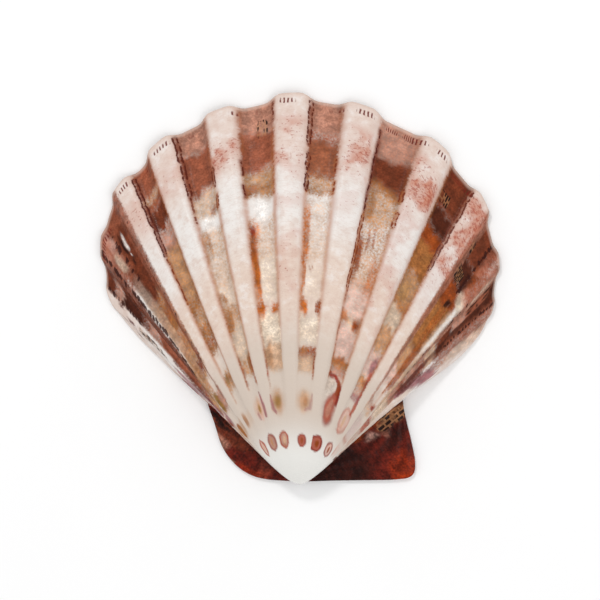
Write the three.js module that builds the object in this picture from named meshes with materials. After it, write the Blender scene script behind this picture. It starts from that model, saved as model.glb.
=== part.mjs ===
// One valve of a scallop, dome up, resting on its margin and on the flat undersides of its two ears.
//
// A shell grows by coiling: every growth stage is the margin, scaled down and turned about the hinge line.
// Growth runs from 0 at the beak to 1 at the margin. Lengths are in millimetres and turns in radians.
// The valve is built with its beak at the middle of the hinge line, +Y towards the far margin and +Z up.

import * as THREE from 'three';
import { mergeVertices } from 'three/addons/utils/BufferGeometryUtils.js';

// Coiling: how fast the margin grows for each radian of turn, outside and inside
const OUTER_GROWTH_RATE = 1.8;
const INNER_GROWTH_RATE = 1.74;

// The young shell is narrower for its height than the grown one
const NARROWING = 0.16;

// Thickness
const HINGE_THICKNESS = 1.1;
const EAR_EDGE_THICKNESS = 0.85;
const MARGIN_EDGE_HEIGHT = 0.5;
const MARGIN_EDGE_ROUNDING = 0.3;
const RIM_WIDTH = 1.7;
const HINGE_PLATE_WIDTH = 3.2;

// How far along the margin, in fan units, the hinge's thickness runs out beside each corner
const CORNER_BLEND = 7;

// Where the straight hinge line lies behind the centre of coiling
const HINGE_LINE_Y = -0.5;

// Ribs: at the margin a crest reaches out and stands up from the gaps beside it
const CREST_REACH = 1.25;
const CREST_LIFT = 1.0;
const RIBS_START = 0.18;
const RIBS_FULL = 0.42;
const INNER_RIBS_START = 0.55;
const INNER_RIBS_FULL = 0.95;

// The margin at the level of the gaps, as [fan, angle from +Y in degrees, distance from the beak].
// The fan coordinate is the angle on the far margin, and runs on down the straight sides to the ears.
const FAN_END = 56;
const MARGIN = [
    [-FAN_END, -51.3, 19.1],
    [-54, -50.6, 23.5],
    [-52, -49.9, 29.0],
    [-50, -49.2, 34.6],
    [-47.5, -47.6, 40.0],
    [-44, -44, 44.9],
    [-36, -36, 52.0],
    [-27, -27, 55.6],
    [-17, -17, 58.4],
    [0, 0, 60.2],
    [17, 17, 57.9],
    [28, 28, 54.4],
    [36, 36, 50.2],
    [43, 43, 45.2],
    [47.5, 47.5, 40.7],
    [50, 50.4, 37.0],
    [52, 52.0, 32.0],
    [54, 52.0, 26.0],
    [FAN_END, 51.3, 20.8],
];

// The ribs from left to right, as
// [fan at the margin, fan at the beak, half width at the margin, half width at the beak, share of the height]
const RIBS = [
    [-46.3, -48.6, 1.3, 0.7, 0.3],
    [-40.4, -45.2, 2.1, 1.2, 0.55],
    [-31.5, -38.8, 2.5, 2.8, 0.8],
    [-22.8, -29.0, 2.7, 3.3, 0.95],
    [-12.4, -17.6, 2.8, 3.5, 1],
    [-1.5, -2.6, 3.0, 3.8, 1],
    [9.4, 12.9, 2.9, 3.7, 0.95],
    [22.1, 27.4, 2.9, 3.3, 0.95],
    [32.7, 38.6, 2.5, 2.8, 0.85],
    [41.3, 45.6, 1.9, 1.2, 0.55],
    [47.3, 49.4, 1.2, 0.7, 0.35],
];

// Across a rib, in half widths: its foot, where its crest starts to fall away, and how much it is crowned
const RIB_FOOT = 1.4;
const RIB_SHOULDER = 0.5;
const RIB_CROWN = 0.06;
const RIB_COLUMNS = [-RIB_FOOT, -1.1, -0.9, -0.65, 0, 0.65, 0.9, 1.1, RIB_FOOT];
const GAP_MIDDLE_HEIGHT = -0.04;

// The ears' outlines from the beak along the hinge line and up the free edge, as [x, y]; the valve's
// corner follows
const LEFT_EAR = [
    [0, HINGE_LINE_Y],
    [-5.1, -0.35],
    [-7.5, 0.15],
    [-9.3, 1.05],
    [-10.7, 2.2],
    [-12.1, 3.95],
    [-12.9, 5.5],
    [-13.9, 8.75],
];
const RIGHT_EAR = [
    [0, HINGE_LINE_Y],
    [8, -0.3],
    [15.8, 0.0],
    [17.4, 0.35],
    [18.1, 1.1],
    [18.25, 2.7],
    [17.7, 5.8],
    [16.9, 9.1],
    [16.35, 11.7],
];
const EAR_RIBLETS = 4;
const EAR_RIBLET_HEIGHT = 0.12;

// The share of an ear's outline at each end over which its thinning and riblets fade in
const EAR_FADE = 0.2;

// How finely the faces are cut
const RIBBED_ROWS = 16;
const RIBBED_STEP = 0.058;
const SMOOTH_ROWS = 9;
const SMOOTH_STEP = 0.13;
const INNER_RIBBED_ROWS = 6;
const INNER_RIBBED_STEP = 0.06;
const INNER_SMOOTH_ROWS = 9;
const INNER_SMOOTH_STEP = 0.16;
const SIDE_STEPS = 5;
const FLANK_STEPS = 3;
const EAR_STEPS = 8;
const EAR_OUTLINE_STEPS = 30;

const { lerp, smoothstep, degToRad } = THREE.MathUtils;

// A smooth curve through the margin table at one fan coordinate, as [x, y]
function marginPath(fan) {
    const last = MARGIN.length - 1;
    let index = 0;
    while (index < last - 1 && MARGIN[index + 1][0] < fan) {
        index += 1;
    }
    const corner = (i) => {
        const [at, angle, reach] = MARGIN[THREE.MathUtils.clamp(i, 0, last)];
        return [at, reach * Math.sin(degToRad(angle)), reach * Math.cos(degToRad(angle))];
    };
    const before = corner(index - 1);
    const start = corner(index);
    const end = corner(index + 1);
    const after = corner(index + 2);
    const span = end[0] - start[0];
    const t = (fan - start[0]) / span;
    return [1, 2].map((axis) => {
        const startSlope = span * (end[axis] - before[axis]) / (end[0] - before[0]);
        const endSlope = span * (after[axis] - start[axis]) / (after[0] - start[0]);
        return start[axis] * (1 + 2 * t) * (1 - t) ** 2
            + startSlope * t * (1 - t) ** 2
            + end[axis] * t ** 2 * (3 - 2 * t)
            - endSlope * t ** 2 * (1 - t);
    });
}

// The direction that points out of the margin in plan, as [x, y]
function marginNormal(fan) {
    const step = 0.25;
    const [x0, y0] = marginPath(Math.max(fan - step, -FAN_END));
    const [x1, y1] = marginPath(Math.min(fan + step, FAN_END));
    const length = Math.hypot(x1 - x0, y1 - y0);
    return [(y0 - y1) / length, (x1 - x0) / length];
}

// 0 at the valve's two corners and 1 all along the free margin
function awayFromCorner(fan) {
    return smoothstep(FAN_END - Math.abs(fan), 0, CORNER_BLEND);
}

// A point near the margin: moved out by an amount, at a height above what the valve rests on
function nearMargin(fan, crest, outwards, height) {
    const [x, y] = marginPath(fan);
    const [nx, ny] = marginNormal(fan);
    const out = outwards + crest * CREST_REACH;
    return new THREE.Vector3(x + nx * out, y + ny * out, height + crest * CREST_LIFT);
}

// Turns a margin point about its pole, and scales it down to one growth stage
function coil(point, pole, growth, rate) {
    const turn = -Math.log(growth) / rate;
    const arm = point.clone().sub(pole);
    return new THREE.Vector3(
        growth * arm.x * (1 - NARROWING * (1 - growth)),
        growth * (arm.y * Math.cos(turn) - arm.z * Math.sin(turn)),
        growth * (arm.y * Math.sin(turn) + arm.z * Math.cos(turn)),
    ).add(pole);
}

const outerPole = new THREE.Vector3(0, 0, HINGE_THICKNESS);
const innerPole = new THREE.Vector3(0, HINGE_PLATE_WIDTH, 0);

function outerMargin(fan, crest) {
    const height = lerp(HINGE_THICKNESS, MARGIN_EDGE_HEIGHT, awayFromCorner(fan));
    return nearMargin(fan, crest, 0, height);
}

function innerMargin(fan, crest) {
    return nearMargin(fan, crest, -RIM_WIDTH, 0);
}

// The height across a rib, from 0 in the gap beside it to 1 on its crest
function ribProfile(distance) {
    return (1 - smoothstep(Math.abs(distance), RIB_SHOULDER, RIB_FOOT)) * (1 - RIB_CROWN * distance ** 2);
}

// The fan coordinate at some half widths from the middle of a rib, as a function of growth
function acrossRib(rib, distance) {
    const [marginFan, beakFan, marginHalf, beakHalf] = RIBS[rib];
    return (growth) => lerp(beakFan, marginFan, growth) + distance * lerp(beakHalf, marginHalf, growth);
}

// One line of a row: a label that orders it, its fan coordinate as a function of growth, and its rib height
function makeColumns() {
    const lines = [];
    const add = (fan, crest, coarse) => lines.push({ label: fan(1), fan, crest, coarse });
    const lastRib = RIBS.length - 1;
    const leftFoot = acrossRib(0, -RIB_FOOT);
    const rightFoot = acrossRib(lastRib, RIB_FOOT);
    for (let step = 0; step < SIDE_STEPS; step += 1) {
        add((growth) => lerp(-FAN_END, leftFoot(growth), step / SIDE_STEPS), 0, step % 2 === 0);
    }
    RIBS.forEach(([, , , , heightShare], rib) => {
        for (const distance of RIB_COLUMNS) {
            add(acrossRib(rib, distance), heightShare * ribProfile(distance), distance === 0);
        }
        if (rib < lastRib) {
            const from = acrossRib(rib, RIB_FOOT);
            const to = acrossRib(rib + 1, -RIB_FOOT);
            add((growth) => (from(growth) + to(growth)) / 2, GAP_MIDDLE_HEIGHT, true);
        }
    });
    for (let step = SIDE_STEPS - 1; step >= 0; step -= 1) {
        add((growth) => lerp(FAN_END, rightFoot(growth), step / SIDE_STEPS), 0, step % 2 === 0);
    }
    return lines;
}

const columns = makeColumns();
const coarseColumns = columns.filter((column) => column.coarse);

// A flank is the side of the dome: it turns down from the corner's coil to the plane of the ears
function flank(side, growth, pole, corner, rate) {
    const turn = -Math.log(growth) / rate;
    const arm = corner.clone().sub(pole);
    const line = [];
    for (let step = FLANK_STEPS; step > 0; step -= 1) {
        const share = step / FLANK_STEPS;
        const lowered = turn * (1 - share);
        const point = new THREE.Vector3(
            growth * arm.x * (1 - NARROWING * (1 - growth)),
            growth * arm.y * Math.cos(lowered),
            growth * arm.y * Math.sin(lowered),
        ).add(pole);
        line.push({ at: side * (FAN_END + share), point });
    }
    return side < 0 ? line : line.reverse();
}

// A growth stage from one ear's plane, up the flank, over the dome and down to the other ear's plane
function growthRow(growth, rowColumns, margin, pole, rate, ribHeight) {
    const over = rowColumns.map((column) => {
        const fan = column.fan(growth);
        const point = coil(margin(fan, column.crest * ribHeight), pole, growth, rate);
        return { at: column.label, point };
    });
    if (growth === 1) {
        return over;
    }
    const left = flank(-1, growth, pole, margin(-FAN_END, 0), rate);
    const right = flank(1, growth, pole, margin(FAN_END, 0), rate);
    return [...left, ...over, ...right];
}

// The growth stages from the margin in, close together where the ribs show and wider apart at the beak
function growthStages(rate, ribbedRows, ribbedStep, smoothRows, smoothStep) {
    const stages = [];
    for (let row = 0; row < ribbedRows; row += 1) {
        stages.push({ growth: Math.exp(-rate * ribbedStep * row), ribbed: true });
    }
    const firstSmoothTurn = ribbedStep * (ribbedRows - 1);
    for (let row = 1; row <= smoothRows; row += 1) {
        stages.push({ growth: Math.exp(-rate * (firstSmoothTurn + smoothStep * row)), ribbed: false });
    }
    return stages;
}

function outerRows() {
    return growthStages(OUTER_GROWTH_RATE, RIBBED_ROWS, RIBBED_STEP, SMOOTH_ROWS, SMOOTH_STEP)
        .map(({ growth, ribbed }) => {
            const ribHeight = smoothstep(growth, RIBS_START, RIBS_FULL);
            const rowColumns = ribbed ? columns : coarseColumns;
            return growthRow(growth, rowColumns, outerMargin, outerPole, OUTER_GROWTH_RATE, ribHeight);
        });
}

function innerRows() {
    const stages = growthStages(
        INNER_GROWTH_RATE, INNER_RIBBED_ROWS, INNER_RIBBED_STEP, INNER_SMOOTH_ROWS, INNER_SMOOTH_STEP,
    );
    return stages.map(({ growth, ribbed }) => {
        const ribHeight = smoothstep(growth, INNER_RIBS_START, INNER_RIBS_FULL);
        const rowColumns = ribbed ? columns : coarseColumns;
        return growthRow(growth, rowColumns, innerMargin, innerPole, INNER_GROWTH_RATE, ribHeight);
    });
}

// A line round the edge of the margin, moved out from it by an amount, between its two heights
function rimRow(outwards, marginHeight, cornerHeight) {
    return columns.map((column) => {
        const fan = column.fan(1);
        const away = awayFromCorner(fan);
        const height = lerp(cornerHeight, marginHeight, away);
        return { at: column.label, point: nearMargin(fan, column.crest, outwards * away, height) };
    });
}

// The faces are gathered as separate triangles, and their shared corners are merged at the end
const corners = [];
const SAME_POINT = 1e-4;

function addTriangle(a, b, c) {
    if (Math.min(a.distanceTo(b), b.distanceTo(c), c.distanceTo(a)) > SAME_POINT) {
        corners.push(...a, ...b, ...c);
    }
}

// Joins two lines of points that run the same way, each point labelled by how far along it lies
function stitch(near, far) {
    let i = 0;
    let j = 0;
    while (i < near.length - 1 || j < far.length - 1) {
        const farDone = j === far.length - 1;
        const nearOpen = i < near.length - 1;
        if (farDone || (nearOpen && near[i + 1].at <= far[j + 1].at)) {
            addTriangle(near[i].point, far[j].point, near[i + 1].point);
            i += 1;
        } else {
            addTriangle(near[i].point, far[j].point, far[j + 1].point);
            j += 1;
        }
    }
}

// An ear's free outline, from the beak along the hinge line and up to the valve's corner
function earOutline(points, cornerFan) {
    const knots = points.map(([x, y]) => new THREE.Vector3(x, y, 0));
    const [cornerX, cornerY] = marginPath(cornerFan);
    knots.push(new THREE.Vector3(cornerX, cornerY, 0));
    const curve = new THREE.CatmullRomCurve3(knots, false, 'centripetal');
    const line = [];
    for (let step = 0; step <= EAR_OUTLINE_STEPS; step += 1) {
        const share = step / EAR_OUTLINE_STEPS;
        line.push({ at: share, point: curve.getPointAt(share) });
    }
    return line;
}

// How far along a line, as a share of its length, each of its points lies
function labelByLength(points) {
    let length = 0;
    const lengths = points.map((point, i) => {
        length += i === 0 ? 0 : point.distanceTo(points[i - 1]);
        return length;
    });
    return points.map((point, i) => ({ at: lengths[i] / length, point }));
}

function pointAlong(line, share) {
    let i = 0;
    while (i < line.length - 2 && line[i + 1].at < share) {
        i += 1;
    }
    const t = (share - line[i].at) / (line[i + 1].at - line[i].at);
    return line[i].point.clone().lerp(line[i + 1].point, t);
}

// An ear's top: flat at the flank, thinner at its free edge, with low riblets fanning from the beak
function earTopLine(base, outline, across) {
    return outline.map(({ at }, i) => {
        const point = pointAlong(base, at).lerp(outline[i].point, across);
        const open = smoothstep(at, 0, EAR_FADE) * (1 - smoothstep(at, 1 - EAR_FADE, 1));
        const thinning = (HINGE_THICKNESS - EAR_EDGE_THICKNESS) * across ** 2;
        const wave = (1 - Math.cos(2 * Math.PI * EAR_RIBLETS * across)) / 2;
        point.z = HINGE_THICKNESS + open * (EAR_RIBLET_HEIGHT * wave - thinning);
        return { at, point };
    });
}

// Joins one ear between the flank's foot above, the hinge plate below and its free edge all round
function addEar(side, outline, topBase, bottomBase) {
    const facing = (near, far) => (side < 0 ? stitch(far, near) : stitch(near, far));
    let previous = topBase;
    for (let step = 1; step <= EAR_STEPS; step += 1) {
        const line = earTopLine(topBase, outline, step / EAR_STEPS);
        facing(previous, line);
        previous = line;
    }
    facing(previous, outline);
    facing(outline, bottomBase);
}

function buildValve() {
    const outer = outerRows();
    const inner = innerRows();
    const beakTop = new THREE.Vector3(0, HINGE_LINE_Y, HINGE_THICKNESS);
    const beakBottom = new THREE.Vector3(0, HINGE_LINE_Y, 0);

    // Outside, from the margin to the beak
    for (let row = 1; row < outer.length; row += 1) {
        stitch(outer[row - 1], outer[row]);
    }
    stitch(outer[outer.length - 1], [{ at: 0, point: beakTop }]);

    // The margin's rounded edge, and the narrow sole that the valve rests on
    const edge = rimRow(0, MARGIN_EDGE_HEIGHT / 2, HINGE_THICKNESS);
    const sole = rimRow(-MARGIN_EDGE_ROUNDING, 0, 0);
    stitch(edge, outer[0]);
    stitch(sole, edge);
    stitch(inner[0], sole);

    // Inside, from the margin to the cavity's own pole
    for (let row = 1; row < inner.length; row += 1) {
        stitch(inner[row], inner[row - 1]);
    }
    stitch([{ at: 0, point: innerPole }], inner[inner.length - 1]);

    // The ears
    for (const side of [-1, 1]) {
        const end = (row) => (side < 0 ? row[0] : row[row.length - 1]).point;
        const foot = outer.map(end).reverse();
        const cavityFoot = inner.map(end).reverse();
        const topBase = labelByLength([beakTop, ...foot]);
        const bottomBase = labelByLength([beakBottom, innerPole, ...cavityFoot, end(sole)]);
        const outline = earOutline(side < 0 ? LEFT_EAR : RIGHT_EAR, side * FAN_END);
        addEar(side, outline, topBase, bottomBase);
    }

    const geometry = new THREE.BufferGeometry();
    geometry.setAttribute('position', new THREE.Float32BufferAttribute(corners, 3));
    return mergeVertices(geometry, SAME_POINT);
}

// The origin lies under the middle of the valve, in the plane it rests on
function centreOnBase(geometry) {
    geometry.computeBoundingBox();
    const { min, max } = geometry.boundingBox;
    geometry.translate(-(min.x + max.x) / 2, -(min.y + max.y) / 2, -min.z);
    geometry.computeVertexNormals();
    return geometry;
}

const shell = new THREE.MeshStandardMaterial({ color: '#d9c4b4', roughness: 0.35, metalness: 0 });
const valve = new THREE.Mesh(centreOnBase(buildValve()), shell);
valve.name = 'scallop_valve';

const group = new THREE.Group();
group.add(valve);

export default group;
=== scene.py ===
import math

import bmesh
import bpy
import numpy as np
from mathutils import Matrix, Vector


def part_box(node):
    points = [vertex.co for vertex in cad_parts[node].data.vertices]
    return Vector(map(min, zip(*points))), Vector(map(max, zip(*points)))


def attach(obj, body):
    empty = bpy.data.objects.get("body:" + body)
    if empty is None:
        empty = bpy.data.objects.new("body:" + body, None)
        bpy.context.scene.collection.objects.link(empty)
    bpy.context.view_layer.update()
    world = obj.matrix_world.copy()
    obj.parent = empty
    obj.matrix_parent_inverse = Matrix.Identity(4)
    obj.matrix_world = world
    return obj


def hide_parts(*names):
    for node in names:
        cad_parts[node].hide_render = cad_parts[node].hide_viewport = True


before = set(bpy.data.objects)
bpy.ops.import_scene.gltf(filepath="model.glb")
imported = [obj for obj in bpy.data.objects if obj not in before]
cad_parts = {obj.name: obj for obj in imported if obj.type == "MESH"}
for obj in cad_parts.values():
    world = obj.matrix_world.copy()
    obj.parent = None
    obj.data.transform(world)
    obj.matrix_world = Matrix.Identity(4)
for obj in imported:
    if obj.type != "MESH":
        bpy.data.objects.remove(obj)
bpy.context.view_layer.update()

# One valve of a scallop, dome up. It is built in millimetres with its beak at the middle of the hinge line,
# +Y towards the far margin and +Z up, and it is moved onto the frame at the end.

NODE = "scallop_valve"
MM = 0.001

# The shell's form, as in the part's source

OUTER_GROWTH_RATE = 1.8
INNER_GROWTH_RATE = 1.74
NARROWING = 0.16
HINGE_THICKNESS = 1.1
EAR_EDGE_THICKNESS = 0.85
MARGIN_EDGE_HEIGHT = 0.5
MARGIN_EDGE_ROUNDING = 0.3
RIM_WIDTH = 1.7
HINGE_PLATE_WIDTH = 3.2
CORNER_BLEND = 7
HINGE_LINE_Y = -0.5
CREST_REACH = 1.25
CREST_LIFT = 1.0
RIBS_START, RIBS_FULL = 0.18, 0.42
INNER_RIBS_START, INNER_RIBS_FULL = 0.55, 0.95
FAN_END = 56  # the fan coordinate of the two corners beside the ears
REACH = 60.2  # from the beak to the far margin

# The margin at the level of the gaps, as (fan, angle from +Y in degrees, distance from the beak)
MARGIN = np.array([
    (-56, -51.3, 19.1), (-54, -50.6, 23.5), (-52, -49.9, 29.0), (-50, -49.2, 34.6), (-47.5, -47.6, 40.0),
    (-44, -44, 44.9), (-36, -36, 52.0), (-27, -27, 55.6), (-17, -17, 58.4), (0, 0, 60.2),
    (17, 17, 57.9), (28, 28, 54.4), (36, 36, 50.2), (43, 43, 45.2), (47.5, 47.5, 40.7),
    (50, 50.4, 37.0), (52, 52.0, 32.0), (54, 52.0, 26.0), (56, 51.3, 20.8),
])

# The ribs from left to right, as (fan at the margin, fan at the beak, half width at the margin, half width
# at the beak, share of the height)
RIBS = np.array([
    (-46.3, -48.6, 1.3, 0.7, 0.3), (-40.4, -45.2, 2.1, 1.2, 0.55), (-31.5, -38.8, 2.5, 2.8, 0.8),
    (-22.8, -29.0, 2.7, 3.3, 0.95), (-12.4, -17.6, 2.8, 3.5, 1), (-1.5, -2.6, 3.0, 3.8, 1),
    (9.4, 12.9, 2.9, 3.7, 0.95), (22.1, 27.4, 2.9, 3.3, 0.95), (32.7, 38.6, 2.5, 2.8, 0.85),
    (41.3, 45.6, 1.9, 1.2, 0.55), (47.3, 49.4, 1.2, 0.7, 0.35),
])
RIB_FOOT, RIB_SHOULDER, RIB_CROWN = 1.4, 0.5, 0.06
GAP_MIDDLE_HEIGHT = -0.04

LEFT_EAR = [(0, -0.5), (-5.1, -0.35), (-7.5, 0.15), (-9.3, 1.05), (-10.7, 2.2), (-12.1, 3.95), (-12.9, 5.5),
            (-13.9, 8.75)]
RIGHT_EAR = [(0, -0.5), (8, -0.3), (15.8, 0.0), (17.4, 0.35), (18.1, 1.1), (18.25, 2.7), (17.7, 5.8),
             (16.9, 9.1), (16.35, 11.7)]
EAR_RIBLETS = 4
EAR_RIBLET_HEIGHT = 0.12
EAR_FADE = 0.2
EAR_EDGE_ROUNDING = 0.3
EAR_SOLE_ROUNDING = 0.15
EAR_LENGTH = 20  # about, along an ear's foot

# How finely the visual mesh is cut. "Across" counts the ribs: rib 0 is the leftmost and rib 10 the rightmost,
# a rib's feet lie a quarter either side of it, and the two corners lie one further than the outer feet.
FOOT = 0.25
RIB_CUTS = 14
GAP_CUTS = 12
SIDE_CUTS = 22
FLANK_CUTS = 6
EAR_CUTS = 24
SOLE_CUTS = 12
PLATE_CUTS = 12
RIM_CUTS = 5

# The growth stages, from the margin in: evenly spaced in millimetres, finer from FINE_FROM to FINE_TO where the
# small marks are, then each one a fixed share of the one before. The inner ones have no fine part.
OUTER_SPACING, FINE_SPACING = 0.42, 0.25
FINE_FROM, FINE_TO = 27, 8
OUTER_SHRINKING, SMALLEST_STAGE = 0.87, 0.004
INNER_EVEN_STAGES, INNER_EVEN_TO = 18, 0.55
INNER_SHRUNK_STAGES, INNER_SHRINKING = 20, 0.82

# Relief, in millimetres: growth checks on the outside, paired grooves inside, and the ligament's hollow
CHECKS_AT = (31.2, 47.6, 55.4)
CHECK_DEPTH = 0.03
GROOVE_DEPTH, GROOVE_FROM_RIB, GROOVE_WIDTH = 0.10, 0.2, 0.035
PIT_DEPTH, PIT_HALF_WIDTH, PIT_WIDENING = 0.55, 0.15, 0.32
WELD_TOLERANCE = 1e-4


def smooth(value, low, high):
    t = np.clip((value - low) / (high - low), 0, 1)
    return t * t * (3 - 2 * t)


def lerp(a, b, t):
    return a + (b - a) * t


def through_table(values, fan):
    """A smooth curve through one column of the margin table."""
    knots = MARGIN[:, 0]
    i = np.clip(np.searchsorted(knots, fan, side="left") - 1, 0, len(knots) - 2)
    before, end, after = np.maximum(i - 1, 0), i + 1, np.minimum(i + 2, len(knots) - 1)
    span = knots[end] - knots[i]
    t = (fan - knots[i]) / span
    start_slope = span * (values[end] - values[before]) / (knots[end] - knots[before])
    end_slope = span * (values[after] - values[i]) / (knots[after] - knots[i])
    return (values[i] * (1 + 2 * t) * (1 - t) ** 2 + start_slope * t * (1 - t) ** 2
            + values[end] * t * t * (3 - 2 * t) - end_slope * t * t * (1 - t))


MARGIN_X = MARGIN[:, 2] * np.sin(np.radians(MARGIN[:, 1]))
MARGIN_Y = MARGIN[:, 2] * np.cos(np.radians(MARGIN[:, 1]))


def margin_path(fan):
    return through_table(MARGIN_X, fan), through_table(MARGIN_Y, fan)


def margin_normal(fan):
    x0, y0 = margin_path(np.maximum(fan - 0.25, -FAN_END))
    x1, y1 = margin_path(np.minimum(fan + 0.25, FAN_END))
    length = np.hypot(x1 - x0, y1 - y0)
    return (y0 - y1) / length, (x1 - x0) / length


def away_from_corner(fan):
    return smooth(FAN_END - np.abs(fan), 0, CORNER_BLEND)


def near_margin(fan, crest, outwards, height):
    x, y = margin_path(fan)
    nx, ny = margin_normal(fan)
    out = outwards + crest * CREST_REACH
    return np.stack([x + nx * out, y + ny * out, height + crest * CREST_LIFT], -1)


def across_columns():
    """The columns' places, close together on the ribs and in the gaps."""
    last = len(RIBS) - 1
    places = [np.linspace(-1 - FOOT, -FOOT, SIDE_CUTS, endpoint=False)]
    for rib in range(len(RIBS)):
        places.append(np.linspace(rib - FOOT, rib + FOOT, RIB_CUTS, endpoint=False))
        if rib < last:
            places.append(np.linspace(rib + FOOT, rib + 1 - FOOT, GAP_CUTS, endpoint=False))
    places.append(np.linspace(last + FOOT, last + 1 + FOOT, SIDE_CUTS + 1))
    return np.concatenate(places)


def fans(across):
    """The fan coordinate of each column at the beak and at the margin."""
    feet = np.concatenate([(rib - FOOT, rib + FOOT) for rib in range(len(RIBS))])
    knots = np.concatenate([[-1 - FOOT], feet, [len(RIBS) + FOOT]])
    signs = np.tile([-1, 1], len(RIBS)) * RIB_FOOT
    ribs = np.repeat(RIBS, 2, axis=0)
    beak = np.concatenate([[-FAN_END], ribs[:, 1] + signs * ribs[:, 3], [FAN_END]])
    margin = np.concatenate([[-FAN_END], ribs[:, 0] + signs * ribs[:, 2], [FAN_END]])
    return np.interp(across, knots, beak), np.interp(across, knots, margin)


def crests(across):
    """The rib height at each column, from 0 at a rib's feet to 1 on a full crest."""
    rib = np.clip(np.round(across), 0, len(RIBS) - 1).astype(int)
    distance = (across - rib) / FOOT * RIB_FOOT
    on_rib = (1 - smooth(np.abs(distance), RIB_SHOULDER, RIB_FOOT)) * (1 - RIB_CROWN * distance ** 2)
    on_rib = np.where(np.abs(distance) < RIB_FOOT, on_rib, 0)
    middle = np.abs(across - np.floor(across) - 0.5) / (0.5 - FOOT)
    inside = (across > 0) & (across < len(RIBS) - 1)
    in_gap = np.where(inside & (middle < 1), GAP_MIDDLE_HEIGHT * (1 - middle ** 2), 0)
    return RIBS[rib, 4] * on_rib + in_gap


ACROSS = across_columns()
BEAK_FAN, MARGIN_FAN = fans(ACROSS)
CREST = crests(ACROSS)


def coil(point, pole, growth, rate):
    """Turns margin points about their pole, and scales them down to one growth stage."""
    turn = -np.log(growth) / rate
    arm = point - pole
    return np.stack([
        growth * arm[..., 0] * (1 - NARROWING * (1 - growth)),
        growth * (arm[..., 1] * np.cos(turn) - arm[..., 2] * np.sin(turn)),
        growth * (arm[..., 1] * np.sin(turn) + arm[..., 2] * np.cos(turn)),
    ], -1) + pole


def flank(side, growth, pole, height, rate):
    """The side of the dome: from the corner's coil down to the plane of the ears."""
    turn = -np.log(growth) / rate
    arm = near_margin(np.array(side * FAN_END, float), 0, 0 if height else -RIM_WIDTH, height) - pole
    share = np.arange(1, FLANK_CUTS + 1) / FLANK_CUTS
    lowered = turn * (1 - share)
    line = np.stack([
        np.full(FLANK_CUTS, growth * arm[0] * (1 - NARROWING * (1 - growth))),
        growth * arm[1] * np.cos(lowered),
        growth * arm[1] * np.sin(lowered),
    ], -1) + pole
    return line[::-1] if side < 0 else line


def growth_row(growth, outside):
    fan = lerp(BEAK_FAN, MARGIN_FAN, growth)
    if outside:
        pole, rate = np.array([0, 0, HINGE_THICKNESS]), OUTER_GROWTH_RATE
        crest = CREST * smooth(growth, RIBS_START, RIBS_FULL)
        height = lerp(HINGE_THICKNESS, MARGIN_EDGE_HEIGHT, away_from_corner(fan))
        margin = near_margin(fan, crest, 0, height)
        corner_height = HINGE_THICKNESS
    else:
        pole, rate = np.array([0, HINGE_PLATE_WIDTH, 0]), INNER_GROWTH_RATE
        crest = CREST * smooth(growth, INNER_RIBS_START, INNER_RIBS_FULL)
        margin = near_margin(fan, crest, -RIM_WIDTH, 0)
        corner_height = 0
    left = flank(-1, growth, pole, corner_height, rate)
    right = flank(1, growth, pole, corner_height, rate)
    return np.concatenate([left, coil(margin, pole, growth, rate), right])


def outer_stages():
    """The growth stages from the margin in: even steps, finer where the small marks are, then geometric."""
    at = [1.0]
    while at[-1] * REACH > FINE_FROM:
        at.append(at[-1] - OUTER_SPACING / REACH)
    while at[-1] * REACH > FINE_TO:
        at.append(at[-1] - FINE_SPACING / REACH)
    while at[-1] > SMALLEST_STAGE:
        at.append(at[-1] * OUTER_SHRINKING)
    return np.array(at)


def inner_stages():
    even = np.linspace(1, INNER_EVEN_TO, INNER_EVEN_STAGES, endpoint=False)
    return np.concatenate([even, INNER_EVEN_TO * INNER_SHRINKING ** np.arange(INNER_SHRUNK_STAGES)])


# The mesh is gathered here as points with their coordinates on the shell, and faces
parts = {"points": [], "across": [], "grown": [], "zone": [], "faces": [], "count": 0}
OUTSIDE, EAR, INSIDE, RIM = 0, 1, 2, 3


def add_points(points, across, grown, zone):
    points = np.asarray(points, float)
    shape = points.shape[:-1]
    start = parts["count"]
    parts["points"].append(points.reshape(-1, 3))
    for name, value in (("across", across), ("grown", grown), ("zone", zone)):
        parts[name].append(np.broadcast_to(np.asarray(value, float), shape).reshape(-1))
    parts["count"] += int(np.prod(shape))
    return np.arange(start, parts["count"]).reshape(shape)


def add_grid(index):
    a, b, c, d = index[:-1, :-1], index[1:, :-1], index[1:, 1:], index[:-1, 1:]
    parts["faces"].append(np.stack([a, b, c, d], -1).reshape(-1, 4))


def add_strip(near, near_at, far, far_at):
    """Triangles between two lines of points that run the same way."""
    i = j = 0
    rows = []
    while i < len(near) - 1 or j < len(far) - 1:
        far_done = j == len(far) - 1
        near_open = i < len(near) - 1
        if far_done or (near_open and near_at[i + 1] <= far_at[j + 1]):
            rows.append((near[i], far[j], near[i + 1], near[i + 1]))
            i += 1
        else:
            rows.append((near[i], far[j], far[j + 1], far[j + 1]))
            j += 1
    parts["faces"].append(np.array(rows))


def wobble(u, v, seed):
    """A smooth irregular wave of two values, between about -1 and 1."""
    total = np.zeros(np.broadcast(u, v).shape)
    for k in range(4):
        a = math.sin(seed * 1.7 + k * 2.1)
        b = math.cos(seed * 2.3 + k * 1.3)
        total += np.sin((1.0 + 0.6 * k) * (a * u + b * v) + seed + 5 * k + np.sin(b * u - a * v + k)) / 2.4
    return total


# The outside of the dome
STAGES = outer_stages()
outer = np.stack([growth_row(growth, True) for growth in STAGES])
flank_across = np.arange(1, FLANK_CUTS + 1) / FLANK_CUTS
WIDE_ACROSS = np.concatenate([ACROSS[0] - flank_across[::-1], ACROSS, ACROSS[-1] + flank_across])


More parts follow.
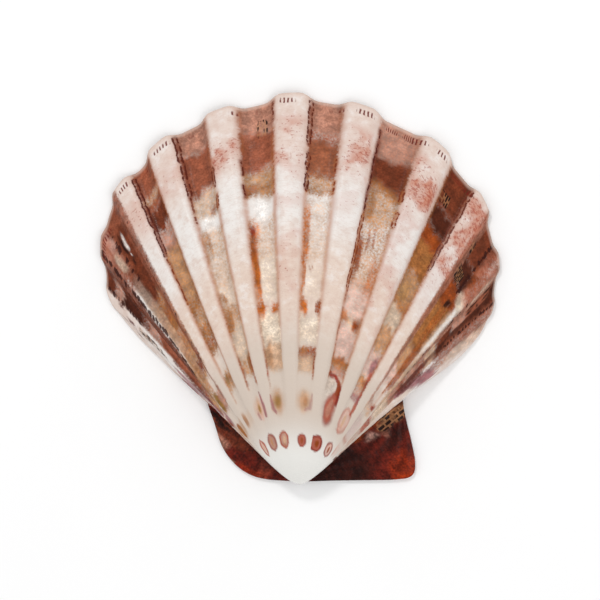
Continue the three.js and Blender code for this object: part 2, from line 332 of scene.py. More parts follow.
def grid_normals(grid):
    down = np.gradient(grid, axis=0)
    along = np.gradient(grid, axis=1)
    normal = np.cross(down, along)
    length = np.linalg.norm(normal, axis=-1, keepdims=True)
    return normal / np.maximum(length, 1e-12)


def outside_relief(across, grown):
    """Low growth waves, fine radial threads and the growth checks."""
    waves = 0.014 * wobble(across * 1.3, grown * 1.9, 3) + 0.012 * wobble(across * 6, grown * 0.8, 6)
    checks = sum(CHECK_DEPTH * smooth(grown, at - 0.25, at + 0.25) * (1 - smooth(grown, at, at + 3))
                 for at in CHECKS_AT)
    return (waves - checks) * smooth(grown, 9, 26)


normals = grid_normals(outer)
if normals[len(STAGES) // 3, len(WIDE_ACROSS) // 2, 2] < 0:
    normals = -normals
wide, grown = np.meshgrid(WIDE_ACROSS, STAGES * REACH)
edge_fade = smooth(REACH - grown, 0, 0.8) * smooth(wide - WIDE_ACROSS[0], 0.3, 1.2)
edge_fade = edge_fade * smooth(WIDE_ACROSS[-1] - wide, 0.3, 1.2)
outer = outer + normals * (outside_relief(wide, grown) * edge_fade)[..., None]
dome = add_points(outer, wide, grown, OUTSIDE)
add_grid(dome)
beak_top = np.array([0, HINGE_LINE_Y, HINGE_THICKNESS])
beak_bottom = np.array([0, HINGE_LINE_Y, 0])
tip = add_points(np.tile(beak_top, (1, dome.shape[1], 1)), wide[-1:], 0, OUTSIDE)
add_grid(np.concatenate([dome[-1:], tip]))

# The rounded rim and the inside
away = away_from_corner(MARGIN_FAN)
rim_rows = []
for step in range(1, RIM_CUTS + 1):
    angle = math.pi / 2 * step / RIM_CUTS
    outwards = -MARGIN_EDGE_ROUNDING * (1 - math.cos(angle)) * away
    margin_height = MARGIN_EDGE_HEIGHT * (1 - math.sin(angle))
    corner_height = HINGE_THICKNESS if step < RIM_CUTS else 0
    height = lerp(corner_height, margin_height, away)
    rim_rows.append(near_margin(MARGIN_FAN, CREST, outwards, height))
rim = add_points(np.stack(rim_rows), ACROSS, REACH + 0.1, RIM)
top_edge = dome[0, FLANK_CUTS:-FLANK_CUTS]
add_grid(np.concatenate([top_edge[None], rim]))

INNER_STAGES = inner_stages()
inner = np.stack([growth_row(growth, False) for growth in INNER_STAGES])
inner_normals = grid_normals(inner)
if inner_normals[5, len(WIDE_ACROSS) // 2, 2] > 0:
    inner_normals = -inner_normals
inner_wide, inner_grown = np.meshgrid(WIDE_ACROSS, INNER_STAGES * REACH)


def inside_relief(across, grown):
    """Paired radial grooves under each rib, fading towards the middle, and low growth waves."""
    off = (np.abs(across - np.round(across)) - GROOVE_FROM_RIB) / GROOVE_WIDTH
    grooves = GROOVE_DEPTH * np.exp(-off ** 2)
    grooves = np.where((across > -0.3) & (across < 10.3), grooves, 0) * smooth(grown, 24, 50)
    return grooves + 0.02 * np.sin(grown * 1.9 + wobble(across, grown / 7, 5)) * smooth(grown, 10, 30)


inner_fade = smooth(REACH - inner_grown, 0, 1.2) * smooth(inner_wide - WIDE_ACROSS[0], 0.3, 1.3)
inner_fade = inner_fade * smooth(WIDE_ACROSS[-1] - inner_wide, 0.3, 1.3)
inner = inner - inner_normals * (inside_relief(inner_wide, inner_grown) * inner_fade)[..., None]
cavity = add_points(inner, inner_wide, inner_grown, INSIDE)
add_grid(cavity)
inner_pole = np.array([0, HINGE_PLATE_WIDTH, 0])
pole_row = add_points(np.tile(inner_pole, (1, cavity.shape[1], 1)), 5, 0, INSIDE)
add_grid(np.concatenate([cavity[-1:], pole_row]))
add_grid(np.stack([rim[-1], cavity[0, FLANK_CUTS:-FLANK_CUTS]]))


def curve_points(knots, cuts=400):
    """A centripetal Catmull-Rom curve through the knots, finely cut, as points in plan."""
    knots = np.array(knots, float)
    padded = np.vstack([2 * knots[0] - knots[1], knots, 2 * knots[-1] - knots[-2]])
    line = []
    for i in range(len(knots) - 1):
        p0, p1, p2, p3 = padded[i:i + 4]
        d0, d1, d2 = (math.sqrt(np.linalg.norm(b - a)) for a, b in ((p0, p1), (p1, p2), (p2, p3)))
        t1 = ((p1 - p0) / d0 - (p2 - p0) / (d0 + d1) + (p2 - p1) / d1) * d1
        t2 = ((p2 - p1) / d1 - (p3 - p1) / (d1 + d2) + (p3 - p2) / d2) * d1
        t = np.arange(cuts)[:, None] / cuts
        line.append(p1 + t1 * t + (3 * (p2 - p1) - 2 * t1 - t2) * t ** 2 + (2 * (p1 - p2) + t1 + t2) * t ** 3)
    return np.vstack(line + [knots[-1:]])


def shares(points):
    steps = np.linalg.norm(np.diff(points, axis=0), axis=1)
    lengths = np.concatenate([[0], np.cumsum(steps)])
    return lengths / lengths[-1]


def at_shares(points, wanted):
    own = shares(points)
    return np.stack([np.interp(wanted, own, points[:, axis]) for axis in range(points.shape[1])], -1)


def ear_height(at, across, x, y):
    """The height of an ear's top: thinner at its free edge, with riblets fanning from the beak."""
    is_open = smooth(at, 0, EAR_FADE) * (1 - smooth(at, 1 - EAR_FADE, 1))
    thinning = (HINGE_THICKNESS - EAR_EDGE_THICKNESS) * across ** 2
    wave = (1 - np.cos(2 * np.pi * EAR_RIBLETS * across)) / 2
    growth_lines = 0.025 * np.sin(np.hypot(x, y) * 5.5 + 2 * np.sin(np.arctan2(y, np.abs(x)) * 3))
    return HINGE_THICKNESS + is_open * (EAR_RIBLET_HEIGHT * wave - thinning + growth_lines * smooth(across, 0, 0.2))


def add_ear(side):
    """One ear: its top, its rounded free edge and its flat underside."""
    outline_knots = LEFT_EAR if side < 0 else RIGHT_EAR
    corner = np.array(margin_path(np.array(side * FAN_END, float)))
    outline = curve_points(list(outline_knots) + [tuple(corner)])

    # Top, from the flank's foot to the free edge
    column = 0 if side < 0 else -1
    foot_index = np.concatenate([[tip[0, column]], dome[::-1, column]])
    foot = np.concatenate([beak_top[None], outer[::-1, column]])
    at = shares(foot)
    edge = at_shares(outline, at)
    ruling = edge - foot[:, :2]
    length = np.linalg.norm(ruling, axis=1)
    direction = ruling / np.maximum(length, 1e-9)[:, None]
    is_open = smooth(at, 0, EAR_FADE) * (1 - smooth(at, 1 - EAR_FADE, 1))
    rounding = np.minimum(EAR_EDGE_ROUNDING * is_open, 0.4 * length)
    sole_rounding = np.minimum(EAR_SOLE_ROUNDING * is_open, 0.2 * length)
    lines = []
    for step in range(1, EAR_CUTS + 1):
        share = step / EAR_CUTS
        plan = lerp(foot[:, :2], edge - direction * rounding[:, None], share)
        lines.append(np.column_stack([plan, ear_height(at, share, plan[:, 0], plan[:, 1])]))
    top_height = lines[-1][:, 2]
    for angle in np.radians([30, 60, 90]):
        plan = edge - direction * (rounding * (1 - math.sin(angle)))[:, None]
        lines.append(np.column_stack([plan, top_height - rounding * (1 - math.cos(angle))]))
    for angle in np.radians([0, 45, 90]):
        plan = edge - direction * (sole_rounding * (1 - math.cos(angle)))[:, None]
        lines.append(np.column_stack([plan, sole_rounding * (1 - math.sin(angle))]))
    count = len(lines)
    out = np.minimum(np.arange(1, count + 1) / EAR_CUTS, 1.0)
    ear_across = (WIDE_ACROSS[column] + side * out)[:, None] * np.ones(len(at))
    zone = np.where(np.arange(count) < count - 1, EAR, INSIDE)[:, None] * np.ones(len(at))
    top = add_points(np.stack(lines), ear_across, at * EAR_LENGTH, zone)
    add_grid(np.concatenate([foot_index[None], top]))

    # Underside, from the hinge plate and the cavity's foot to the free edge
    plate = lerp(beak_bottom, inner_pole, np.linspace(0, 1, PLATE_CUTS, endpoint=False)[:, None])
    base = np.concatenate([plate, inner_pole[None], inner[::-1, column], np.append(corner, 0)[None]])
    base_at = shares(base)
    base_index = np.concatenate([
        add_points(plate, 5, 0, INSIDE), pole_row[0, [column]], cavity[::-1, column], [rim[-1, column]],
    ])
    far = at_shares(outline, base_at)
    lines = []
    for step in range(1, SOLE_CUTS + 1):
        plan = lerp(base[:, :2], far, 0.93 * step / SOLE_CUTS)
        lines.append(np.column_stack([plan, pit_depth(plan[:, 0], plan[:, 1])]))
    under = add_points(np.stack(lines), 5, 0, INSIDE)
    add_grid(np.concatenate([base_index[None], under]))
    add_strip(under[-1], base_at, top[-1], at)


def pit_depth(x, y):
    """The hollow for the ligament, in the middle of the hinge plate."""
    half_width = PIT_HALF_WIDTH + PIT_WIDENING * np.clip(y - HINGE_LINE_Y, 0, None)
    inside = 1 - smooth(np.abs(x) / half_width, 0.55, 1)
    return PIT_DEPTH * inside * smooth(y, -0.3, 0.8) * (1 - smooth(y, 2.3, 3.1))


for ear_side in (-1, 1):
    add_ear(ear_side)

# One welded mesh, fitted to the frame
points = np.vstack(parts["points"])
along_plate = (np.abs(points[:, 0]) < 1e-9) & (points[:, 2] < 1e-9) & (points[:, 1] < HINGE_PLATE_WIDTH - 1e-9)
points[along_plate, 2] = pit_depth(points[along_plate, 0], points[along_plate, 1])
attributes = {name: np.concatenate(parts[name]) for name in ("across", "grown", "zone")}
faces = np.vstack(parts["faces"])
keys = np.round(points / WELD_TOLERANCE).astype(np.int64)
_, first, new_index = np.unique(keys, axis=0, return_index=True, return_inverse=True)
new_index = new_index.reshape(-1)
points = points[first]
attributes = {name: values[first] for name, values in attributes.items()}
faces = new_index[faces]


def without_repeats(face):
    kept = [v for k, v in enumerate(face) if v != face[k - 1]]
    return kept if len(set(kept)) == len(kept) and len(kept) > 2 else None


repeated = (faces == np.roll(faces, 1, axis=1)).any(axis=1)
face_list = faces[~repeated].tolist()
face_list += [face for face in map(without_repeats, faces[repeated].tolist()) if face]

box_low, box_high = (np.array(corner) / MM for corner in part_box(NODE))
low, high = points.min(axis=0), points.max(axis=0)
fit = (box_high - box_low) / (high - low)
row_points = (points - low) * fit + box_low
BEAK_GROUND = (np.array([0.0, 0.0, low[2]]) - low) * fit + box_low

mesh = bpy.data.meshes.new("valve_shell")
mesh.from_pydata((row_points * MM).tolist(), [], face_list)
mesh.validate()
valve = bpy.data.objects.new("valve_shell", mesh)
bpy.context.scene.collection.objects.link(valve)
work = bmesh.new()
work.from_mesh(mesh)
bmesh.ops.recalc_face_normals(work, faces=work.faces)
work.to_mesh(mesh)
work.free()
mesh.shade_smooth()

# Colour marks. The pigments are sRGB colours.
PIGMENTS = {
    "white": (236, 232, 228),
    "cream": (230, 213, 192),
    "beige": (210, 186, 162),
    "sand": (204, 168, 138),
    "tan": (182, 132, 90),
    "ochre": (160, 102, 54),
    "amber": (190, 102, 38),
    "olive": (146, 108, 54),
    "rust": (144, 66, 22),
    "brown": (110, 52, 30),
    "rose_tan": (178, 126, 106),
    "rose_brown": (150, 84, 60),
    "dark_brown": (76, 32, 16),
    "maroon": (92, 26, 16),
    "brick": (168, 82, 60),
    "red": (132, 34, 18),
    "mauve": (156, 100, 104),
    "pink": (212, 172, 158),
    "bare": (206, 191, 178),
    "lilac": (192, 160, 164),
    "black": (34, 12, 7),
    "ember": (160, 50, 10),
}


def linear(colour):
    c = np.array(colour, float) / 255
    return np.where(c <= 0.04045, c / 12.92, ((c + 0.055) / 1.055) ** 2.4)


LINEAR = {name: linear(colour) for name, colour in PIGMENTS.items()}

# Bands across a whole gap between two ribs, as (pigment, from, to, strength), in millimetres grown
GAP_BANDS = {
    0: [("rose_tan", 15.5, 18, 0.35), ("tan", 18.5, 20.8, 0.75), ("sand", 20.8, 22.4, 0.6),
        ("mauve", 22.4, 25.4, 0.8), ("tan", 26, 30.4, 0.9), ("rose_brown", 30.2, 33.2, 0.9),
        ("rose_brown", 32.6, 44.8, 1), ("rose_tan", 44.6, 48.2, 0.9), ("brown", 47.8, 50, 0.9),
        ("dark_brown", 49.4, 54.9, 1), ("rose_tan", 54.8, 57.4, 0.9), ("brown", 57.3, 62, 1)],
    1: [("tan", 17, 19.6, 0.6), ("rose_tan", 23.2, 26.8, 0.85), ("tan", 29.4, 31, 0.7), ("brown", 30.6, 32.8, 0.95),
        ("ochre", 32.6, 37, 0.7), ("tan", 33, 41, 0.7), ("rust", 35, 44, 0.35), ("ochre", 38, 46.5, 0.9),
        ("rust", 40.6, 43, 0.5), ("brown", 45, 62, 1), ("rose_brown", 57, 62, 0.7)],
    2: [("sand", 16.8, 18.8, 0.35), ("tan", 23.2, 25.9, 0.75), ("ochre", 29.4, 31.2, 0.9), ("rust", 31, 31.9, 0.9),
        ("ochre", 31.7, 34.2, 0.9), ("tan", 34, 36.2, 0.85), ("ochre", 36, 38.8, 0.9), ("tan", 38.4, 47.2, 0.95),
        ("rose_tan", 46.4, 50.2, 0.85), ("brown", 50.1, 53.6, 1), ("rose_brown", 53.3, 54.8, 1),
        ("tan", 54.5, 56, 0.7), ("rose_brown", 55.6, 62, 1)],
    3: [("tan", 23, 25.8, 0.7), ("beige", 25.4, 30, 0.7), ("tan", 29.8, 33.4, 0.75), ("beige", 33.2, 36.5, 0.5),
        ("sand", 36, 41, 0.5), ("sand", 40.6, 45, 0.6), ("sand", 46.8, 50.4, 0.75), ("rose_brown", 50.2, 57, 1),
        ("rose_tan", 56.8, 62, 1)],
    4: [("sand", 22.4, 26.2, 0.95), ("cream", 26, 30.2, 0.85), ("cream", 32.6, 38, 0.5), ("sand", 37.6, 43.5, 0.45),
        ("tan", 46.4, 50.6, 0.85), ("ochre", 46.8, 48.6, 0.5), ("rose_brown", 50.4, 56.2, 1),
        ("rose_tan", 55.8, 62, 1)],
    5: [("sand", 21.9, 24.4, 0.85), ("rust", 24.1, 25.5, 0.85), ("cream", 26, 30, 0.6), ("cream", 32, 36, 0.3),
        ("sand", 37, 46, 0.35), ("tan", 46.8, 49.8, 0.75), ("ochre", 46.8, 47.8, 0.5), ("ochre", 49.6, 54.4, 0.95),
        ("rose_brown", 49.6, 56, 0.8), ("rose_tan", 55.8, 62, 1)],
    6: [("rose_tan", 22.8, 24.8, 0.8), ("ochre", 24.4, 26.1, 0.95), ("pink", 26, 30, 0.75), ("sand", 30, 32.4, 0.75),
        ("pink", 32, 37, 0.6), ("tan", 36, 46.2, 0.5), ("tan", 45.6, 50, 0.75), ("ochre", 49.5, 51.4, 0.95),
        ("brown", 50.6, 55.6, 1), ("rose_tan", 55.2, 62, 0.95)],
    7: [("rose_tan", 22, 24.2, 0.6), ("tan", 23.8, 25.8, 0.9), ("pink", 26, 30.6, 0.75), ("tan", 30.4, 34.4, 0.9),
        ("beige", 34.2, 37.7, 0.9), ("ochre", 37.4, 39.6, 0.95), ("tan", 39, 43.4, 0.95), ("ochre", 43, 49.4, 1),
        ("rust", 48.6, 51.2, 1), ("dark_brown", 50.8, 54.2, 1), ("brown", 53.8, 62, 1)],
    8: [("pink", 12, 15, 0.4), ("brick", 16, 16.8, 0.6), ("lilac", 17, 22, 0.3), ("sand", 23, 24.4, 0.5),
        ("rose_tan", 24.2, 25.8, 0.6), ("pink", 29.6, 33.4, 0.7), ("tan", 32.6, 38.4, 0.9), ("ochre", 37.8, 47.4, 1),
        ("rust", 46.4, 50.4, 1), ("dark_brown", 50, 54.4, 1), ("brown", 54, 62, 1)],
    9: [("rose_tan", 17, 22, 0.4), ("brick", 21.8, 24.8, 0.8), ("beige", 25.3, 30.5, 0.85),
        ("rose_tan", 30, 33.4, 0.9), ("rose_brown", 33, 35.4, 0.9), ("rose_tan", 35.2, 38.6, 0.9),
        ("rose_brown", 38, 41.4, 0.85), ("sand", 41, 44.4, 0.9), ("brown", 44, 48.6, 1),
        ("rose_tan", 48.6, 52.6, 0.95), ("rose_brown", 52.4, 62, 1), ("dark_brown", 58.4, 62, 1)],
}

# Spots with a darker outline, as (across, grown, half across, half grown, outline, its strength, fill, its
# strength, core, its strength)
SPOTS = [
    (2.48, 12.2, 0.38, 1.7, "brick", 0.9, "pink", 0.8, "sand", 0.9),
    (3.53, 12.3, 0.42, 1.5, "red", 0.6, "rose_tan", 0.9, "tan", 0.8),
    (4.46, 12.2, 0.33, 1.35, "brick", 0.9, "rose_tan", 0.85, "sand", 0.9),
    (5.51, 12.0, 0.32, 1.05, "red", 0.55, "brick", 0.95, "rust", 0.7),
    (6.41, 12.0, 0.42, 1.35, "red", 0.9, "brick", 0.95, "rust", 1.0),
    (7.48, 12.1, 0.42, 1.45, "red", 0.75, "pink", 0.9, "rust", 0.9),
    (1.10, 18.8, 0.13, 1.5, "rust", 0.5, "ochre", 0.8, "olive", 0.7),
    (7.54, 17.9, 0.40, 2.3, "brick", 0.4, "pink", 0.7, "sand", 0.8),
]

# Soft spots without an outline, as (pigment, across, grown, half across, half grown, strength)
BLOTS = [
    ("rust", 4.40, 11.4, 0.2, 0.5, 0.9), ("red", 3.5, 11.1, 0.3, 0.3, 0.6),
    ("dark_brown", 6.38, 12.0, 0.12, 0.4, 0.8), ("pink", 8.1, 13.0, 0.12, 1.6, 0.8),
    ("olive", 2.2, 12.3, 0.12, 0.6, 0.5), ("rust", 7.5, 16.7, 0.32, 0.6, 0.6), ("brick", 7.45, 15.9, 0.34, 0.4, 0.6),
    ("ochre", 2.16, 18.0, 0.12, 1.5, 0.75), ("olive", 2.34, 24.9, 0.22, 1.0, 0.8),
    ("ochre", 2.6, 24.8, 0.3, 1.2, 0.6), ("pink", 3.52, 17.8, 0.46, 2.0, 0.8), ("sand", 3.48, 18.1, 0.38, 1.9, 0.7),
    ("olive", 3.46, 17.9, 0.26, 0.9, 0.85), ("pink", 3.5, 16.6, 0.3, 0.7, 0.6), ("tan", 4.44, 18.0, 0.42, 2.3, 0.75),
    ("olive", 4.42, 18.0, 0.28, 1.1, 0.85), ("sand", 5.52, 17.9, 0.45, 2.1, 0.75),
    ("tan", 5.52, 17.9, 0.36, 1.7, 0.5), ("ochre", 5.64, 17.8, 0.2, 0.9, 0.5), ("amber", 4.26, 31.0, 0.16, 1.6, 1.0),
    ("amber", 4.77, 31.0, 0.13, 1.3, 0.95), ("amber", 5.28, 30.9, 0.17, 1.6, 1.0),
    ("rust", 5.80, 31.0, 0.09, 0.9, 0.9), ("amber", 6.27, 31.1, 0.16, 1.3, 0.75),
    ("rust", 6.72, 31.1, 0.16, 1.4, 1.0), ("ochre", 3.3, 31.2, 0.24, 1.6, 0.7), ("amber", 4.5, 31.0, 0.3, 0.5, 0.35),
    ("ochre", 3.3, 34.2, 0.2, 1.0, 0.8), ("ochre", 5.36, 24.9, 0.24, 0.8, 0.7), ("rust", 6.5, 25.5, 0.35, 0.7, 0.5),
    ("ochre", 3.8, 24.3, 0.12, 1.8, 0.9), ("ochre", 4.3, 24.4, 0.22, 2.2, 0.5),
    ("mauve", 7.72, 28.0, 0.24, 2.1, 0.85), ("rust", 7.6, 24.9, 0.26, 0.8, 0.5),
    ("amber", 4.28, 41.6, 0.16, 2.4, 0.6), ("red", 4.22, 41.9, 0.07, 1.0, 1.0), ("amber", 4.25, 36.5, 0.11, 6.0, 1.0),
    ("rust", 4.2, 39.5, 0.06, 2.4, 0.8), ("amber", 5.25, 41.0, 0.12, 4.4, 0.75),
    ("amber", 5.22, 36.0, 0.05, 5.0, 0.8), ("rose_brown", 5.46, 36.0, 0.12, 0.4, 0.6),
    ("rust", 6.26, 40.0, 0.1, 4.0, 0.9), ("amber", 6.73, 38.0, 0.12, 3.8, 0.6), ("ochre", 6.3, 47.5, 0.12, 2.6, 0.7),
    ("rose_brown", 6.42, 43.2, 0.06, 2.6, 0.6), ("rose_brown", 6.56, 43.8, 0.05, 2.2, 0.6),
    ("rust", 3.74, 47.6, 0.12, 0.9, 0.6), ("ochre", 3.28, 42.8, 0.14, 2.4, 0.6), ("rust", 2.24, 53.8, 0.12, 0.5, 0.6),
    ("rust", 4.3, 47.6, 0.2, 1.0, 0.5), ("olive", 7.45, 40.5, 0.3, 2.0, 0.5),
    ("dark_brown", 7.4, 45.5, 0.15, 0.8, 0.4), ("dark_brown", 7.62, 43.5, 0.1, 0.6, 0.4),
    ("amber", 8.72, 43.5, 0.12, 4.0, 0.7), ("black", 8.75, 47.0, 0.09, 0.9, 0.95),
    ("black", 8.22, 55.8, 0.07, 0.9, 0.8), ("black", 8.22, 51.2, 0.07, 1.0, 0.85),
    ("black", 8.52, 51.2, 0.12, 1.0, 0.7), ("red", 8.86, 24.7, 0.09, 0.6, 0.9),
    ("black", 9.33, 57.2, 0.10, 1.3, 0.95), ("black", 9.33, 54.3, 0.09, 1.6, 0.95),
    ("black", 9.56, 57.5, 0.08, 0.9, 0.9), ("black", 9.57, 55.5, 0.07, 0.6, 0.85),
    ("black", 9.53, 53.4, 0.10, 1.1, 0.9), ("black", 9.62, 48.6, 0.09, 0.5, 0.8),
    ("black", 10.22, 57.8, 0.05, 0.7, 0.8), ("black", 10.08, 56.2, 0.06, 0.6, 0.8),
    ("black", 10.24, 53.6, 0.06, 0.8, 0.8), ("maroon", 10.05, 52.3, 0.06, 0.6, 0.8),
    ("maroon", 10.34, 55.4, 0.05, 0.8, 0.7), ("maroon", 10.1, 50.0, 0.06, 0.5, 0.7),
    ("dark_brown", 9.62, 34.3, 0.12, 0.5, 0.7), ("dark_brown", 9.55, 40.6, 0.14, 0.5, 0.5),
    ("black", 1.33, 55.2, 0.08, 1.9, 0.95), ("black", 1.36, 51.8, 0.09, 0.9, 0.85),
    # The two white blots in gap 1 are a pale patch with a painted highlight in it.
    ("white", 1.48, 55.2, 0.09, 1.2, 0.85), ("white", 1.45, 53.2, 0.04, 0.4, 0.9),
    ("black", 1.5, 45.8, 0.12, 0.5, 0.3), ("dark_brown", 1.55, 52.8, 0.15, 0.6, 0.6),
    ("maroon", -0.38, 56, 0.05, 1.1, 0.8), ("maroon", -0.06, 54.6, 0.05, 1.3, 0.85),
    ("maroon", -0.04, 49, 0.05, 1.5, 0.8), ("maroon", 0.1, 56, 0.05, 0.9, 0.8), ("maroon", -0.2, 58, 0.04, 0.8, 0.7),
    ("maroon", 0.04, 46.5, 0.04, 1.0, 0.6), ("dark_brown", 0.52, 56.6, 0.16, 0.5, 0.5),
    ("dark_brown", 0.66, 43.4, 0.2, 0.3, 0.6),
]

# Marks with firmer edges, as (pigment, across from, across to, grown from, grown to, strength)
MARKS = [
    # The two white marks, in gaps 3 and 4, are painted highlights.
    ("bare", 6.12, 6.60, 19.6, 22.2, 1.0), ("white", 3.25, 3.75, 44.6, 46.8, 0.5),
    ("white", 4.3, 4.75, 43.2, 46.2, 0.5),
    # The side ribs on the left
    ("brown", 0.74, 0.97, 26, 62, 0.9), ("tan", 0.72, 1.0, 26, 33, 0.6), ("mauve", 0.7, 0.98, 21, 25, 0.6),
    ("rose_brown", 0.94, 1.21, 50.6, 62, 0.95), ("cream", 1.07, 1.13, 52, 56, 0.6),
    ("pink", 1.1, 1.17, 56.6, 59, 0.6), ("tan", 0.97, 1.16, 28, 35, 0.85), ("olive", 1.0, 1.17, 23.6, 27.6, 0.95),
    ("ochre", 1.02, 1.2, 17.2, 20, 0.8), ("cream", 1.04, 1.2, 36, 50, 0.35), ("sand", 1.17, 1.22, 30, 44, 0.5),
    ("rose_brown", 1.76, 1.89, 24, 62, 0.75), ("rose_tan", 1.85, 1.94, 30, 62, 0.4),
    # The side ribs on the right
    ("rose_tan", 8.08, 8.24, 24, 62, 0.75), ("rose_brown", 8.12, 8.22, 34, 60, 0.4),
    ("rose_brown", 8.84, 9.14, 55.8, 62, 0.7), ("rust", 8.84, 9.13, 50.8, 56.4, 0.9),
    ("cream", 8.84, 9.08, 48.2, 50.8, 0.8), ("rose_tan", 9.1, 9.28, 38, 62, 0.9),
    ("sand", 8.97, 9.22, 25, 38.6, 0.85), ("rust", 8.8, 8.95, 28.4, 39.5, 0.75), ("cream", 9.17, 9.21, 53, 58, 0.5),
    ("cream", 8.9, 9.06, 38, 48, 0.3), ("dark_brown", 9.68, 9.86, 43, 62, 0.95),
    ("maroon", 9.74, 9.86, 31.5, 43.5, 0.8), ("rose_brown", 9.84, 10.22, 43, 62, 0.85),
    ("rose_tan", 10.1, 10.48, 43.6, 62, 0.7), ("cream", 10.25, 10.5, 50, 60, 0.4),
]

# Lines and streaks, as (pigment, strength, places as (across, grown, half width))
STREAKS = [
    ("red", 0.75, [(6.82, 20.8, 0.08), (6.68, 19.4, 0.2), (6.55, 18.0, 0.34), (6.56, 17.1, 0.32),
                   (6.66, 16.5, 0.24)]),
    ("brick", 0.85, [(6.82, 21.8, 0.05), (6.7, 19.5, 0.15), (6.58, 18.1, 0.29), (6.59, 17.3, 0.26),
                     (6.67, 16.8, 0.18)]),
    ("rose_tan", 0.75, [(6.66, 19.0, 0.1), (6.58, 17.6, 0.2)]),
    ("red", 0.9, [(6.10, 27.5, 0.03), (6.12, 25.0, 0.04), (6.15, 23.2, 0.06), (6.26, 22.6, 0.06), (6.48, 22.7, 0.06),
                  (6.70, 22.1, 0.07), (6.84, 20.8, 0.06), (6.84, 19.0, 0.04)]),
    ("rust", 0.7, [(6.72, 22.2, 0.07), (6.76, 20.6, 0.07)]),
    ("brick", 0.9, [(7.8, 27, 0.07), (7.84, 24, 0.09), (7.83, 21.5, 0.09), (7.80, 19.6, 0.04)]),
    ("mauve", 0.55, [(7.15, 21.9, 0.09), (7.8, 22.3, 0.12)]),
    ("mauve", 0.9, [(3.82, 20.0, 0.03), (3.86, 18, 0.05), (3.85, 16.5, 0.05)]),
    ("mauve", 0.6, [(3.2, 17.4, 0.04), (3.22, 16.4, 0.04)]),
    ("mauve", 0.8, [(4.14, 19, 0.03), (4.15, 17.2, 0.05), (4.22, 16.5, 0.04)]),
    ("mauve", 0.5, [(5.86, 19, 0.03), (5.85, 17, 0.05), (5.6, 16.6, 0.04)]),
    ("brick", 0.75, [(4.14, 24, 0.04), (4.16, 22, 0.05)]),
    ("rose_brown", 0.8, [(3.84, 25, 0.04), (3.86, 21.6, 0.05)]),
    ("rose_brown", 0.8, [(3.16, 26, 0.04), (3.17, 22, 0.05)]),
    ("brick", 0.8, [(5.86, 24.4, 0.03), (5.87, 21.8, 0.05)]),
    ("mauve", 0.9, [(-1.05, 62, 0.1), (-0.85, 50, 0.14), (-0.52, 45, 0.2), (-0.38, 42, 0.22), (-0.2, 37, 0.2),
                    (0.05, 31, 0.14), (0.12, 26, 0.08)]),
    ("rose_brown", 0.95, [(-1.22, 58, 0.06), (-1.14, 50, 0.12), (-1.0, 45, 0.12), (-0.82, 42, 0.12),
                          (-0.68, 38, 0.12), (-0.48, 31, 0.12), (-0.1, 25.5, 0.12), (0.15, 23, 0.08)]),
    ("pink", 0.75, [(-1.22, 46, 0.08), (-1.02, 42, 0.08), (-0.93, 38, 0.08), (-0.72, 31, 0.09), (-0.42, 25, 0.08),
                    (0.1, 21, 0.05)]),
    ("ochre", 0.65, [(-1.22, 41, 0.07), (-1.12, 36, 0.09), (-0.9, 30, 0.1), (-0.6, 24, 0.1), (-0.2, 20, 0.08)]),
    ("maroon", 0.7, [(0.1, 41, 0.05), (0.08, 34, 0.1), (0.12, 29, 0.05)]),
    ("lilac", 0.6, [(-0.2, 43, 0.06), (-0.02, 37, 0.06)]),
    ("mauve", 0.95, [(10.6, 50.5, 0.04), (10.52, 47, 0.12), (10.36, 44, 0.2), (10.2, 40.5, 0.2), (10.02, 36.5, 0.16),
                     (9.92, 32.6, 0.07)]),
    ("maroon", 0.75, [(10.0, 41, 0.05), (9.95, 37, 0.13), (9.92, 33.5, 0.08)]),
    ("rose_brown", 0.6, [(11.0, 33, 0.04), (10.85, 26, 0.12), (10.6, 20, 0.2), (10.3, 17, 0.2), (9.9, 15, 0.12)]),
    ("maroon", 0.85, [(11.05, 19, 0.06), (10.8, 16.5, 0.1), (10.2, 13.8, 0.14), (9.5, 12.8, 0.1)]),
]

# Broken dark lines, as (darkness, places as (across, grown, half width))
CHAINS = [
    (1.0, [(0.95, 60, 0.035), (0.96, 52, 0.04), (0.99, 45, 0.05), (1.03, 41, 0.05), (1.0, 37, 0.04),
           (0.93, 32.5, 0.03)]),
    (0.8, [(0.16, 60, 0.03), (0.16, 50, 0.03)]),
    (0.9, [(8.78, 60.5, 0.035), (8.79, 50, 0.035)]),
    (0.8, [(9.9, 60, 0.04), (9.86, 45, 0.03)]),
    (0.6, [(1.2, 58, 0.03), (1.2, 50, 0.03)]),
    (0.5, [(1.9, 56, 0.03), (1.88, 30, 0.03)]),
    (0.7, [(9.12, 52, 0.03), (9.1, 34, 0.03)]),
]

